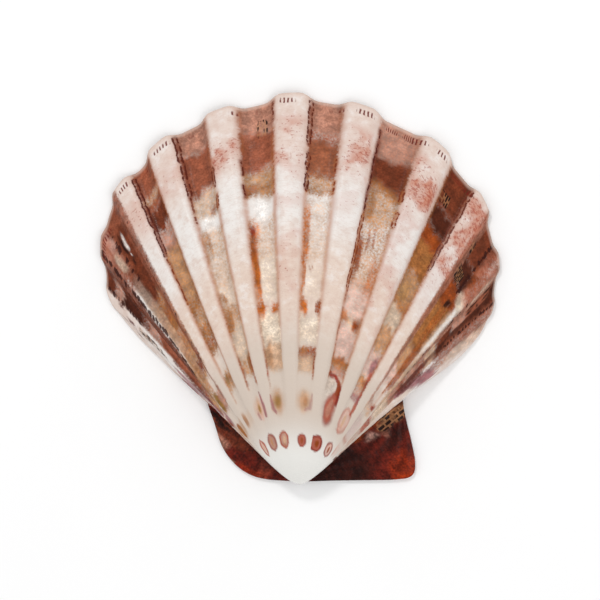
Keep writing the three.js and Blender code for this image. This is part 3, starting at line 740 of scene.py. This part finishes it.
# Lines along the edges of gaps, as (gap, -1 left or 1 right, from, to, darkness, strength): they run double
# where the strength passes 1.2
EDGES = [
    (1, -1, 24, 46, 0.5, 0.4), (2, -1, 46, 59.5, 1.0, 1.6), (2, -1, 38, 46, 0.6, 1.0), (2, -1, 21, 38, 0.3, 0.55),
    (2, 1, 22, 60, 0.4, 0.5), (3, -1, 50, 60, 0.95, 1.35), (3, -1, 46, 50, 0.7, 0.8), (3, -1, 21, 46, 0.4, 0.6),
    (3, 1, 46.4, 48.6, 0.6, 1.3), (3, 1, 49.6, 52.6, 0.8, 1.35), (3, 1, 53, 60, 0.6, 0.5), (3, 1, 21, 46, 0.3, 0.55),
    (4, -1, 46.6, 48.8, 0.9, 1.15), (4, -1, 49.8, 52.4, 0.9, 1.15), (4, -1, 53, 60, 0.6, 0.6),
    (4, -1, 32, 46.6, 0.3, 0.5), (4, -1, 20, 32, 0.55, 0.6), (4, 1, 56.5, 60, 0.8, 0.9), (4, 1, 46, 56, 0.4, 0.7),
    (4, 1, 28, 46, 0.3, 0.5), (5, -1, 46.6, 49.2, 0.95, 1.35), (5, -1, 49.6, 52.2, 0.9, 1.35),
    (5, -1, 53, 60, 0.9, 1.3), (5, -1, 29, 46.6, 0.25, 0.5), (5, 1, 53, 60, 0.6, 0.5), (5, 1, 46.6, 48.6, 0.5, 1.0),
    (5, 1, 49.8, 52, 0.6, 1.0), (5, 1, 29, 46, 0.2, 0.4), (5, 1, 21, 25, 0.6, 0.8), (6, -1, 46, 58.5, 1.0, 1.15),
    (6, -1, 34.5, 46, 0.6, 1.3), (6, -1, 22, 34.5, 0.5, 0.7), (6, 1, 45.6, 48.2, 0.5, 1.35),
    (6, 1, 49.4, 51.8, 0.6, 1.35), (6, 1, 52, 60, 0.5, 0.4), (6, 1, 22, 45, 0.3, 0.6), (7, -1, 28, 60, 0.3, 0.5),
    (7, 1, 45.5, 60, 0.85, 1.35), (7, 1, 27, 45.5, 0.4, 0.65), (8, 1, 28, 47, 0.35, 0.8),
]

# Rows of small dark cells, as (across from, across to, grown from, grown to)
CELLS = [
    (7.20, 7.54, 54.6, 56.4), (4.50, 4.78, 55.2, 57.8), (8.18, 8.30, 54.8, 56.6), (8.2, 8.66, 50.2, 52.6),
    (-0.25, 0.05, 44, 52),
]

# Red-brown flecks on the ribs, as (rib, from, to, amount)
RIB_FLECKS = [
    (1, 50, 60, 0.5), (2, 51, 57, 0.4), (3, 52, 57, 0.4), (3, 27.8, 29.2, 0.4), (4, 51, 56, 0.85),
    (5, 49.5, 56.5, 0.75), (6, 49.5, 56.5, 0.8), (7, 50, 57, 0.95), (7, 30, 44, 0.45), (5, 32, 41, 0.4),
    (8, 47, 60, 0.9), (9, 50, 60, 0.7), (8, 40, 47, 0.2), (7, 44, 50, 0.4), (2, 36, 50, 0.1), (6, 44, 50, 0.2),
    (5, 44, 50, 0.35),
]

# Dark ticks on the margin, as (across from, across to, strength)
TICKS = [
    (0.85, 1.3, 0.9), (1.3, 1.9, 0.5), (1.95, 2.14, 1.0), (2.4, 2.8, 0.6), (2.92, 3.14, 1.0), (3.4, 3.6, 0.8),
    (4.1, 4.18, 0.8), (4.5, 4.56, 0.8), (4.64, 4.68, 0.6), (4.92, 5.06, 1.0), (5.15, 5.2, 0.7), (5.58, 5.72, 0.8),
    (5.76, 5.86, 0.8), (5.94, 6.12, 1.0), (6.25, 6.5, 0.8), (6.58, 6.9, 1.0), (6.98, 7.12, 1.0), (7.22, 7.86, 1.0),
    (8.1, 8.2, 0.5), (8.8, 9.9, 0.5),
]

# Marks on the ears, as (pigment, out from the flank, along it, half out, half along, strength), in millimetres
EAR_LAYERS = {
    -1: [("maroon", 3, 8, 20, 30, 1.0), ("black", 0.6, 6, 1.5, 9, 0.45), ("ember", 4.6, 6, 1.3, 3.5, 0.35),
         ("brick", 3, 5, 2.2, 1.6, 0.25), ("brown", 1.6, 13, 1.6, 5, 0.6), ("rose_tan", 3.5, 15.0, 1.5, 3.2, 0.85),
         ("sand", 2.8, 17.4, 1.1, 2.2, 0.85), ("sand", 1.5, 19.8, 1.0, 1.8, 0.75),
         ("dark_brown", 3.3, 14.0, 0.4, 0.8, 0.7), ("black", 1.2, 16.4, 0.5, 2.6, 0.8),
         ("black", 2.4, 18.0, 0.35, 0.4, 0.7), ("sand", 4.9, 11.0, 0.5, 1.6, 0.4),
         ("dark_brown", 2.2, 15.2, 0.4, 0.9, 0.6), ("red", 5.0, 7.0, 0.4, 3.0, 0.6)],
    1: [("maroon", 3, 8, 30, 40, 1.0), ("black", 3.2, 6, 4.6, 7, 0.8), ("black", 5.5, 8.5, 1.6, 3, 0.4),
        ("maroon", 7, 12.5, 3, 4, 0.35), ("ember", 11.0, 13.6, 1.8, 4.2, 0.95), ("ember", 8.4, 14.4, 2.8, 3.0, 0.45),
        ("black", 4.2, 16, 1.7, 3.5, 0.7), ("tan", 1.3, 17.8, 1.3, 3.2, 0.55), ("pink", 1.5, 13.4, 0.7, 1.2, 0.55),
        ("rose_tan", 2.4, 15.0, 1.0, 1.0, 0.35), ("rust", 0.4, 11, 0.5, 9, 0.6), ("ember", 10.2, 10.5, 0.7, 4, 0.5)],
}
# A patch of dark cells on each ear, as (out, along, half out, half along, amount)
EAR_CELLS = {-1: (1.0, 15.5, 1.0, 2.5, 0.5), 1: (1.35, 17.4, 1.2, 3.2, 1.0)}

# On the ears the coordinate across starts well away from the ribs, and counts a step for so many millimetres
EAR_ACROSS = 20
EAR_SCALE = 9.0

# So many millimetres grown count as much as one step across, for a line's width
LINE_UNIT = 6.0
# How far across an edge line lies from its rib's middle, and where the ticks lie, in millimetres grown
EDGE_FROM_RIB = 0.17
TICK_ROW = (58.8, 59.4)
# The stain in the ligament's hollow, in millimetres
PIT_STAIN_Y, PIT_STAIN_HALF_WIDTH, PIT_STAIN_HALF_LENGTH = 1.6, 3.2, 2.2


def window(value, low, high, soft):
    return smooth(value, low - soft, low + soft) * (1 - smooth(value, high - soft, high + soft))


def oval(u, v, centre_u, centre_v, half_u, half_v, power=2.6):
    """0 at the middle of a rounded spot and 1 on its edge."""
    return (np.abs((u - centre_u) / half_u) ** power + np.abs((v - centre_v) / half_v) ** power) ** (1 / power)


def along_line(u, v, places):
    """1 on a line through places given as (across, grown, half width), falling to 0 beyond its edge."""
    amount = np.zeros(len(u))
    for (u0, v0, w0), (u1, v1, w1) in zip(places[:-1], places[1:]):
        du, dv = u1 - u0, (v1 - v0) / LINE_UNIT
        t = np.clip(((u - u0) * du + (v - v0) / LINE_UNIT * dv) / (du * du + dv * dv), 0, 1)
        off = np.hypot(u - u0 - t * du, (v - v0) / LINE_UNIT - t * dv) / (w0 + (w1 - w0) * t)
        amount = np.maximum(amount, 1 - smooth(off, 0.55, 1.25))
    return amount


class Stain:
    """Pigments laid over each other: their colour, and how much of the ground they cover."""

    def __init__(self, count):
        self.colour = np.zeros((count, 3))
        self.cover = np.zeros(count)

    def lay(self, pigment, amount):
        total = self.cover * (1 - amount) + amount
        kept = (self.cover * (1 - amount) / np.maximum(total, 1e-6))[:, None]
        self.colour = self.colour * kept + LINEAR[pigment] * (1 - kept)
        self.cover = total


def paint_dome(u, v):
    """The stains on the dome: bands, then soft spots, outlined spots, marks and streaks."""
    stain = Stain(len(u))
    bent_u = u + 0.025 * wobble(u * 2.5, v * 0.9, 1) * smooth(v, 16, 30)
    bent_v = v + (0.5 * wobble(u * 3.5, v * 0.4, 2) + 0.35 * wobble(u * 11, v * 1.3, 5)) * smooth(v, 18, 28)
    for gap_number, bands in GAP_BANDS.items():
        in_gap = window(u, gap_number + (0.14 if gap_number == 0 else 0.06), gap_number + 0.95, 0.04)
        for pigment, low, high, strength in bands:
            stain.lay(pigment, in_gap * window(bent_v, low, high, 0.7) * strength)
    for pigment, centre_u, centre_v, half_u, half_v, strength in BLOTS:
        spot = oval(bent_u, bent_v, centre_u, centre_v, half_u, half_v, 2.2)
        stain.lay(pigment, (1 - smooth(spot, 0.35, 1.15)) * strength)
    for centre_u, centre_v, half_u, half_v, *layers in SPOTS:
        spot = oval(u + 0.012 * wobble(u * 9, v * 2, 4), v, centre_u, centre_v, half_u, half_v)
        outline, outline_strength, fill, fill_strength, core, core_strength = layers
        stain.lay(fill, (1 - smooth(spot, 0.9, 1.08)) * fill_strength)
        stain.lay(core, (1 - smooth(spot, 0.30, 0.6)) * core_strength)
        stain.lay(outline, smooth(spot, 0.72, 0.9) * (1 - smooth(spot, 0.98, 1.12)) * outline_strength)
    for pigment, left, right, low, high, strength in MARKS:
        half_u, half_v = (right - left) / 2 + 0.02, (high - low) / 2 + 0.3
        mark = oval(bent_u, bent_v, (left + right) / 2, (low + high) / 2, half_u, half_v, 3.5)
        stain.lay(pigment, (1 - smooth(mark, 0.65, 1.2)) * strength)
    for pigment, strength, places in STREAKS:
        stain.lay(pigment, along_line(bent_u, v, places) * strength)
    on_flank = np.maximum(ACROSS[0] - u, u - ACROSS[-1])
    stain.lay("mauve", window(on_flank, 0.0, 0.55, 0.12) * window(v, 12, 60, 5) * 0.75)
    stain.lay("maroon", window(on_flank, 0.1, 0.4, 0.12) * window(v, 20, 60, 6) * 0.4)
    return stain


def paint_ear(side, out, along):
    """The stains on an ear, whose own coordinates run out from the flank's line and along it, from the beak."""
    stain = Stain(len(out))
    bent_out = out + 0.5 * wobble(out * 0.8, along * 0.6, 7)
    bent_along = along + 0.7 * wobble(out * 0.9, along * 0.5, 8)
    for pigment, centre_out, centre_along, half_out, half_along, strength in EAR_LAYERS[side]:
        place = oval(bent_out, bent_along, centre_out, centre_along, half_out, half_along, 2)
        stain.lay(pigment, (1 - smooth(place, 0.45, 1.1)) * strength)
    return stain


def strongest(amounts):
    """The largest of several amounts at each point, and at least 0."""
    return np.maximum.reduce([np.zeros(len(points)), *amounts])


u_all, v_all = attributes["across"], attributes["grown"]
ear_points = attributes["zone"] == EAR
dome_points = (attributes["zone"] == OUTSIDE) | (attributes["zone"] == RIM)
dome_stain = paint_dome(u_all, v_all)
cover, stain_colour = dome_stain.cover * dome_points, dome_stain.colour
cells = dome_points * strongest(
    window(u_all, left, right, 0.03) * window(v_all, low, high, 0.6) for left, right, low, high in CELLS
)

# The ears are painted in their own coordinates, which also take the place of the dome's for the material
for ear_side in (-1, 1):
    mine = ear_points & (np.sign(points[:, 0] + 1e-9) == ear_side)
    corner_x, corner_y = margin_path(np.array(ear_side * FAN_END, float))
    reach = math.hypot(corner_x, corner_y)
    line_x, line_y = corner_x / reach, corner_y / reach
    x, y = points[mine, 0], points[mine, 1]
    along = x * line_x + y * line_y
    out = ear_side * (x * line_y - y * line_x)
    ear_stain = paint_ear(ear_side, out, along)
    cover[mine], stain_colour[mine] = ear_stain.cover, ear_stain.colour
    centre_out, centre_along, half_out, half_along, amount = EAR_CELLS[ear_side]
    cells[mine] = (1 - smooth(oval(out, along, centre_out, centre_along, half_out, half_along), 0.8, 1.05)) * amount
    u_all[mine] = ear_side * (EAR_ACROSS + out / EAR_SCALE)
    v_all[mine] = along

# Where stains cross the ribs: on the side ribs, and on the outer edges of the ribs next to them
over_ribs = strongest([
    1 - smooth(u_all, 1.19, 1.24), smooth(u_all, 8.76, 8.8),
    window(u_all, 1.76, 1.94, 0.02), window(u_all, 8.08, 8.25, 0.02),
])
chain = strongest(along_line(u_all, v_all, places) * darkness for darkness, places in CHAINS)
flecks = strongest(
    window(u_all, rib - 0.16, rib + 0.16, 0.03) * window(v_all, low, high, 1.2) * strength
    for rib, low, high, strength in RIB_FLECKS
)
ticks = window(v_all, *TICK_ROW, 0.15) * strongest(
    window(u_all, left, right, 0.015) * strength for left, right, strength in TICKS
)
edge_strength, edge_dark = np.zeros(len(points)), np.zeros(len(points))
for gap_number, edge_side, low, high, dark, strength in EDGES:
    middle = gap_number + (EDGE_FROM_RIB if edge_side < 0 else 1 - EDGE_FROM_RIB)
    amount = window(u_all, middle - 0.1, middle + 0.1, 0.02) * window(v_all, low, high, 0.25) * strength
    edge_dark = np.where(amount > edge_strength, dark, edge_dark)
    edge_strength = np.maximum(edge_strength, amount)
pit_reach = np.hypot(points[:, 0] / PIT_STAIN_HALF_WIDTH, (points[:, 1] - PIT_STAIN_Y) / PIT_STAIN_HALF_LENGTH)


def set_floats(name, values):
    layer = mesh.attributes.new(name, "FLOAT", "POINT")
    layer.data.foreach_set("value", np.asarray(values, np.float32))


set_floats("across", u_all)
set_floats("grown", v_all)
set_floats("ear", ear_points)
set_floats("inside", attributes["zone"] == INSIDE)
set_floats("stain", cover)
set_floats("over_ribs", np.maximum(over_ribs, ear_points))
set_floats("flecks", flecks * dome_points)
set_floats("cells", cells)
set_floats("chain", chain * dome_points)
set_floats("pit", 1 - smooth(pit_reach, 0.7, 1.1))
set_floats("edge", edge_strength * dome_points)
set_floats("edge_dark", edge_dark)
set_floats("ticks", ticks * dome_points)
layer = mesh.attributes.new("stain_colour", "FLOAT_VECTOR", "POINT")
layer.data.foreach_set("vector", stain_colour.astype(np.float32).reshape(-1))


class Nodes:
    """A short way to write a node graph."""

    def __init__(self, material):
        material.use_nodes = True
        self.tree = material.node_tree
        self.tree.nodes.clear()

    def new(self, kind, inputs=(), **settings):
        node = self.tree.nodes.new(kind)
        for name, value in settings.items():
            setattr(node, name, value)
        for key, value in dict(inputs).items():
            if isinstance(value, bpy.types.NodeSocket):
                self.tree.links.new(value, node.inputs[key])
            else:
                node.inputs[key].default_value = value
        return node

    def math(self, operation, a, b=0.0, c=0.0, clamp=False):
        return self.new("ShaderNodeMath", {0: a, 1: b, 2: c}, operation=operation, use_clamp=clamp).outputs[0]

    def times(self, first, *others):
        for other in others:
            first = self.math("MULTIPLY", first, other)
        return first

    def scaled(self, value, factor, shift):
        return self.math("MULTIPLY_ADD", value, factor, shift)

    def apart(self, a, b):
        return self.math("ABSOLUTE", self.math("SUBTRACT", a, b))

    def step(self, value, low, high, out_low=0.0, out_high=1.0):
        return self.new("ShaderNodeMapRange", {0: value, 1: low, 2: high, 3: out_low, 4: out_high},
                        interpolation_type="SMOOTHSTEP").outputs[0]

    def mix(self, factor, a, b):
        node = self.new("ShaderNodeMix", {0: factor, 6: a, 7: b}, data_type="RGBA")
        return node.outputs[2]

    def attribute(self, name, output="Fac"):
        return self.new("ShaderNodeAttribute", attribute_name=name, attribute_type="GEOMETRY").outputs[output]

    def vector(self, x, y, z=0.0):
        return self.new("ShaderNodeCombineXYZ", {0: x, 1: y, 2: z}).outputs[0]

    def noise(self, vector, scale, detail=3.0, roughness=0.55, output="Fac"):
        return self.new("ShaderNodeTexNoise", {"Vector": vector, "Scale": scale, "Detail": detail,
                                               "Roughness": roughness}).outputs[output]


def rgba(colour):
    return (*(LINEAR[colour] if isinstance(colour, str) else linear(colour)), 1.0)


shell = bpy.data.materials.new("scallop_shell")
n = Nodes(shell)
u = n.attribute("across")
v = n.attribute("grown")
ear = n.attribute("ear")
inside = n.attribute("inside")
place = n.new("ShaderNodeTexCoord").outputs["Object"]


def drawn_out(scale_u, scale_v, detail, roughness=0.55, layer=0.0):
    """Noise in the shell's own coordinates, across and grown."""
    return n.noise(n.vector(n.times(u, scale_u), n.times(v, scale_v), layer), 1.0, detail, roughness)


speckle = n.noise(place, 3000.0, 2.0, 0.6)
mottle = n.noise(place, 650.0, 4.0, 0.6)
clouds = n.noise(place, 230.0, 3.0, 0.5)
streaks = drawn_out(3.0, 1.7, 4.0, 0.6)

# The gaps between the ribs, by the distance from the nearest rib's middle
centred = n.math("SUBTRACT", u, 0.012)
nearest = n.math("ROUND", centred)
from_rib = n.apart(centred, nearest)
rib_edge = n.step(u, 3.5, 6.5, 0.16, 0.186)
ragged = n.math("ADD", from_rib, n.scaled(streaks, 0.05, -0.025))
opened = n.math("SUBTRACT", n.math("SUBTRACT", ragged, rib_edge), n.step(v, 14.0, 24.0, -0.12, 0.0))
gap = n.math("MAXIMUM", n.step(opened, -0.02, 0.02), n.attribute("over_ribs"))

# The unstained ground: clean white at the beak, then greyer, white on the ribs and faintly pink by the margin, with
# painted shade on the ribs' sides beside the gaps
ground = rgba((232, 230, 225))
for low, high, tone in ((9.0, 17.0, (208, 193, 180)), (24.0, 32.0, (222, 202, 188)),
                        (36.0, 44.0, (228, 222, 217)), (47.0, 53.0, (221, 203, 193))):
    ground = n.mix(n.step(v, low, high), ground, rgba(tone))
ground = n.mix(n.times(n.step(mottle, 0.48, 0.7, 0.0, 0.5), n.step(v, 24.0, 34.0)), ground, rgba((236, 232, 229)))
ground = n.mix(n.times(n.step(mottle, 0.5, 0.3, 0.0, 0.4), n.step(v, 20.0, 32.0)), ground, rgba((206, 178, 164)))
# Painted shade with a pinkish-brown tint on the ribs' sides, where they meet the gaps
rib_edge_shade_and_tint = n.times(n.step(n.apart(from_rib, rib_edge), 0.06, 0.0, 0.0, 0.4), n.step(v, 22.0, 30.0))
ground = n.mix(rib_edge_shade_and_tint, ground, rgba((178, 118, 90)))

# Stains: grainy where they thin out, shaded by growth streaks, and with painted shade darkening them towards the
# gaps' edges beside the ribs
cover_in = n.times(n.attribute("stain"), gap)
thin = n.times(cover_in, n.math("SUBTRACT", 1.0, cover_in), 4.0)
grain = n.times(n.scaled(speckle, 2.0, -1.0), n.step(v, 16.0, 27.0, 0.15, 1.0))
cover_out = n.math("ADD", cover_in, n.times(thin, grain), clamp=True)
streak_tone_and_edge_shade = n.times(
    n.step(streaks, 0.3, 0.7, 0.86, 1.1), n.step(speckle, 0.3, 0.7, 0.8, 1.16),
    n.step(mottle, 0.32, 0.68, 0.74, 1.18),
    # Painted shade: the stains darker by the ribs' edges than in the middle of each gap
    n.math("MAXIMUM", n.step(from_rib, 0.18, 0.34, 0.84, 1.04), n.step(ear, 0.0, 1.0)),
)
calm = n.math("MAXIMUM", n.step(v, 16.0, 27.0, 0.3, 1.0), n.times(ear, 1.7))
streak_tone_and_edge_shade = n.math("ADD", n.times(streak_tone_and_edge_shade, calm), n.math("SUBTRACT", 1.0, calm))
stain_in = n.attribute("stain_colour", "Vector")
stained = n.new("ShaderNodeVectorMath", {0: stain_in, 3: streak_tone_and_edge_shade}, operation="SCALE").outputs[0]
hue = n.mix(n.step(n.noise(place, 420.0, 3.0), 0.36, 0.64), (1.03, 0.97, 0.93, 1), (1.0, 1.0, 1.0, 1))
stained = n.new("ShaderNodeVectorMath", {0: stained, 1: hue}, operation="MULTIPLY").outputs[0]
colour = n.mix(cover_out, ground, stained)

# Flecks on the ribs, over a faint wash
flecks_in = n.attribute("flecks")
fleck_noise = drawn_out(22.0, 2.6, 3.0, 0.7)
wash = n.times(flecks_in, n.step(clouds, 0.42, 0.58, 0.1, 1.0), n.step(mottle, 0.3, 0.6, 0.45, 1.0))
colour = n.mix(wash, colour, rgba((192, 124, 100)))
fleck_amount = n.math("ADD", n.scaled(flecks_in, 0.17, fleck_noise), n.scaled(clouds, 0.35, -0.175))
fleck_mask = n.step(fleck_amount, 0.67, 0.76)
colour = n.mix(n.times(fleck_mask, n.step(flecks_in, 0.05, 0.3, 0.0, 0.6)), colour, rgba((154, 60, 38)))
scale_lines = n.step(n.apart(drawn_out(5.0, 1.6, 3.0, 0.6, 4.0), 0.5), 0.035, 0.0)
on_rib = n.times(n.step(from_rib, 0.17, 0.12), n.step(v, 22.0, 32.0, 0.0, 0.22), n.step(ear, 0.5, 0.1))
colour = n.mix(n.times(scale_lines, on_rib), colour, rgba((196, 160, 148)))

# Lines along the edges of the gaps: a soft one, and irregular dashes on it where it is strong
edge_in = n.attribute("edge")
bend = n.scaled(n.noise(n.vector(n.times(nearest, 3.1), n.times(v, 0.6)), 1.0, 3.0), 0.05, -0.025)
line_at = n.apart(n.math("ADD", from_rib, bend), n.math("ADD", rib_edge, 0.006))
dark = n.attribute("edge_dark")
wear = n.noise(n.vector(n.math("ADD", n.times(u, 4.0), n.times(nearest, 5.7)), n.times(v, 0.9)), 1.0, 4.0, 0.65)
soft_line = n.times(
    n.step(line_at, 0.04, 0.004), n.step(edge_in, 0.0, 1.2, 0.0, 0.8), n.step(wear, 0.32, 0.55, 0.25, 1.0),
)
colour = n.mix(soft_line, colour, n.mix(dark, rgba((196, 118, 58)), rgba((116, 56, 40))))
dash_noise = n.noise(n.vector(n.math("ADD", n.times(u, 9.0), n.times(nearest, 7.3)), n.times(v, 1.7)), 1.0, 2.0, 0.6)
double_at = n.apart(line_at, 0.018)
dash_at = n.math("ADD", n.times(line_at, n.step(edge_in, 1.32, 1.2)), n.times(double_at, n.step(edge_in, 1.2, 1.32)))
dash_width = n.scaled(dash_noise, 0.026, -0.004)
dash = n.times(
    n.step(n.math("DIVIDE", dash_at, dash_width), 1.1, 0.6),
    n.step(n.scaled(edge_in, 0.15, dash_noise), 0.58, 0.66), n.step(edge_in, 0.5, 0.9, 0.0, 0.95),
)
colour = n.mix(dash, colour, n.mix(dark, rgba((158, 74, 34)), rgba((80, 26, 16))))
chain_in = n.attribute("chain")
chain_noise = drawn_out(7.0, 1.25, 2.0, 0.55, 6.0)
chain_mask = n.times(n.step(n.scaled(chain_in, 0.3, chain_noise), 0.66, 0.76), n.step(chain_in, 0.1, 0.4))
colour = n.mix(n.times(chain_mask, 0.92), colour, rgba((52, 18, 12)))

# Rows of dark cells, and ticks on the margin
shift_u = n.scaled(mottle, 0.5, n.times(u, 13.0))
shift_v = n.scaled(streaks, 0.7, v)
mortar = n.new("ShaderNodeTexBrick", {"Vector": n.vector(shift_v, shift_u), "Scale": 1.0, "Mortar Size": 0.2,
                                      "Mortar Smooth": 0.35, "Brick Width": 1.4, "Row Height": 1.0},
               offset=0.35).outputs["Fac"]
cells_in = n.attribute("cells")
present = drawn_out(4.0, 0.55, 1.0, layer=2.0)
cell = n.times(n.math("SUBTRACT", 1.0, mortar), n.step(cells_in, 0.35, 0.6), n.step(present, 0.4, 0.5))
colour = n.mix(n.times(cell, 0.94), colour, rgba((28, 12, 9)))
colour = n.mix(n.times(mortar, n.step(cells_in, 0.5, 0.8, 0.0, 0.35)), colour, rgba("tan"))
pale_rim = n.step(v, 59.5, 60.1, 0.0, 0.55)
colour = n.mix(n.times(pale_rim, n.step(ear, 0.5, 0.1)), colour, rgba((214, 188, 174)))
tick_wave = n.math("SINE", n.scaled(mottle, 6.0, n.times(u, 170.0)))
tick_amount = n.step(n.scaled(clouds, 1.2, n.attribute("ticks")), 0.95, 1.3, 0.0, 0.9)
tick = n.times(n.step(tick_wave, 0.0, 0.4), tick_amount)
colour = n.mix(tick, colour, rgba((104, 28, 18)))

# Inside: porcelain, tinted towards the margin, with the muscle's scar
inner_colour = n.mix(n.step(v, 38.0, 58.0, 0.0, 0.6), rgba("white"), rgba("tan"))
inner_colour = n.mix(n.step(v, 53.0, 59.5, 0.0, 0.6), inner_colour, rgba("brown"))
inner_colour = n.mix(n.step(mottle, 0.4, 0.7, 0.0, 0.25), inner_colour, rgba("pink"))
SCAR_ACROSS, SCAR_GROWN, SCAR_HALF_ACROSS, SCAR_HALF_GROWN = 6.0, 30.0, 1.5, 7.5
scar_u = n.math("DIVIDE", n.math("SUBTRACT", u, SCAR_ACROSS), SCAR_HALF_ACROSS)
scar_v = n.math("DIVIDE", n.math("SUBTRACT", v, SCAR_GROWN), SCAR_HALF_GROWN)
scar_reach = n.math("SQRT", n.math("ADD", n.times(scar_u, scar_u), n.times(scar_v, scar_v)))
scar_line = n.apart(scar_reach, 1.0)
inner_colour = n.mix(n.step(scar_line, 0.12, 0.0, 0.0, 0.3), inner_colour, rgba("sand"))
inner_colour = n.mix(n.attribute("pit"), inner_colour, rgba("dark_brown"))
colour = n.mix(inside, colour, inner_colour)

# Relief finer than the mesh: growth lines, radial threads and grain
height = drawn_out(1.4, 4.2, 3.0, 0.6)
for relief, amount in ((drawn_out(22.0, 0.25, 2.0), 0.4), (mottle, 0.5), (speckle, 0.1)):
    height = n.scaled(relief, amount, height)
bump = n.new("ShaderNodeBump", {"Strength": 0.35, "Distance": 0.00012, "Height": height}).outputs[0]
roughness = n.step(n.math("ADD", mottle, n.times(streaks, 0.5)), 0.4, 1.1, 0.16, 0.34)

surface = n.new("ShaderNodeBsdfPrincipled", {
    "Base Color": colour, "Roughness": roughness, "Normal": bump, "Specular IOR Level": 0.1,
}).outputs[0]
n.new("ShaderNodeOutputMaterial", {"Surface": surface})
mesh.materials.append(shell)

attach(valve, "root")
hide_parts(NODE)

# Floor, light and camera
floor_mesh = bpy.data.meshes.new("floor")
floor_mesh.from_pydata([(-1.5, -1.5, 0), (1.5, -1.5, 0), (1.5, 1.5, 0), (-1.5, 1.5, 0)], [], [(0, 1, 2, 3)])
floor = bpy.data.objects.new("floor", floor_mesh)
floor.location.z = -0.0001
bpy.context.scene.collection.objects.link(floor)
floor_material = bpy.data.materials.new("floor")
m = Nodes(floor_material)
floor_noise = m.noise(m.new("ShaderNodeTexCoord").outputs["Object"], 40.0)
floor_colour = m.mix(floor_noise, (0.93, 0.93, 0.93, 1), (0.95, 0.95, 0.95, 1))
floor_surface = m.new("ShaderNodeBsdfPrincipled", {"Base Color": floor_colour, "Roughness": 0.9,
                                                   "Specular IOR Level": 0.1}).outputs[0]
m.new("ShaderNodeOutputMaterial", {"Surface": floor_surface})
floor_mesh.materials.append(floor_material)

scene = bpy.context.scene
world = bpy.data.worlds.new("studio")
world.use_nodes = True
world.node_tree.nodes["Background"].inputs["Color"].default_value = (1, 1, 1, 1)
world.node_tree.nodes["Background"].inputs["Strength"].default_value = 0.8
scene.world = world
scene.view_settings.view_transform = "Standard"


def area_light(name, place, size, power):
    light = bpy.data.lights.new(name, "AREA")
    light.shape = "DISK"
    light.size = size
    light.energy = power
    lamp = bpy.data.objects.new(name, light)
    lamp.location = place
    lamp.rotation_euler = (-Vector(place)).to_track_quat("-Z", "Y").to_euler()
    scene.collection.objects.link(lamp)


area_light("key", (-0.12, 0.36, 0.5), 0.09, 0.85)
area_light("fill", (0.4, -0.2, 0.7), 0.6, 1.0)

# The camera stands as in the photo: PIXEL is a photo pixel in millimetres, and the other lengths are in pixels
PIXEL = 0.16
PHOTO_SIDE = 600
CAMERA_DISTANCE = 2600
MIDDLE_RIGHT, MIDDLE_UP = -1.2, 177.3
SENSOR_WIDTH = 36
ROLL, PITCH = math.radians(4.5), math.radians(-5.5)
right = np.array([math.cos(ROLL), 0, -math.sin(ROLL)])
up = np.array([math.sin(ROLL) * math.sin(PITCH), math.cos(PITCH), math.cos(ROLL) * math.sin(PITCH)])
towards = np.array([math.sin(ROLL) * math.cos(PITCH), -math.sin(PITCH), math.cos(ROLL) * math.cos(PITCH)])
camera_place = BEAK_GROUND + PIXEL * (MIDDLE_RIGHT * right + MIDDLE_UP * up + CAMERA_DISTANCE * towards)
camera_data = bpy.data.cameras.new("camera")
camera_data.sensor_width = SENSOR_WIDTH
camera_data.lens = SENSOR_WIDTH * CAMERA_DISTANCE / PHOTO_SIDE
camera_data.clip_start = 0.01
camera_data.clip_end = 20
camera = bpy.data.objects.new("camera", camera_data)
camera.matrix_world = Matrix((
    (right[0], up[0], towards[0], camera_place[0] * MM),
    (right[1], up[1], towards[1], camera_place[1] * MM),
    (right[2], up[2], towards[2], camera_place[2] * MM),
    (0, 0, 0, 1),
))
scene.collection.objects.link(camera)
scene.camera = camera
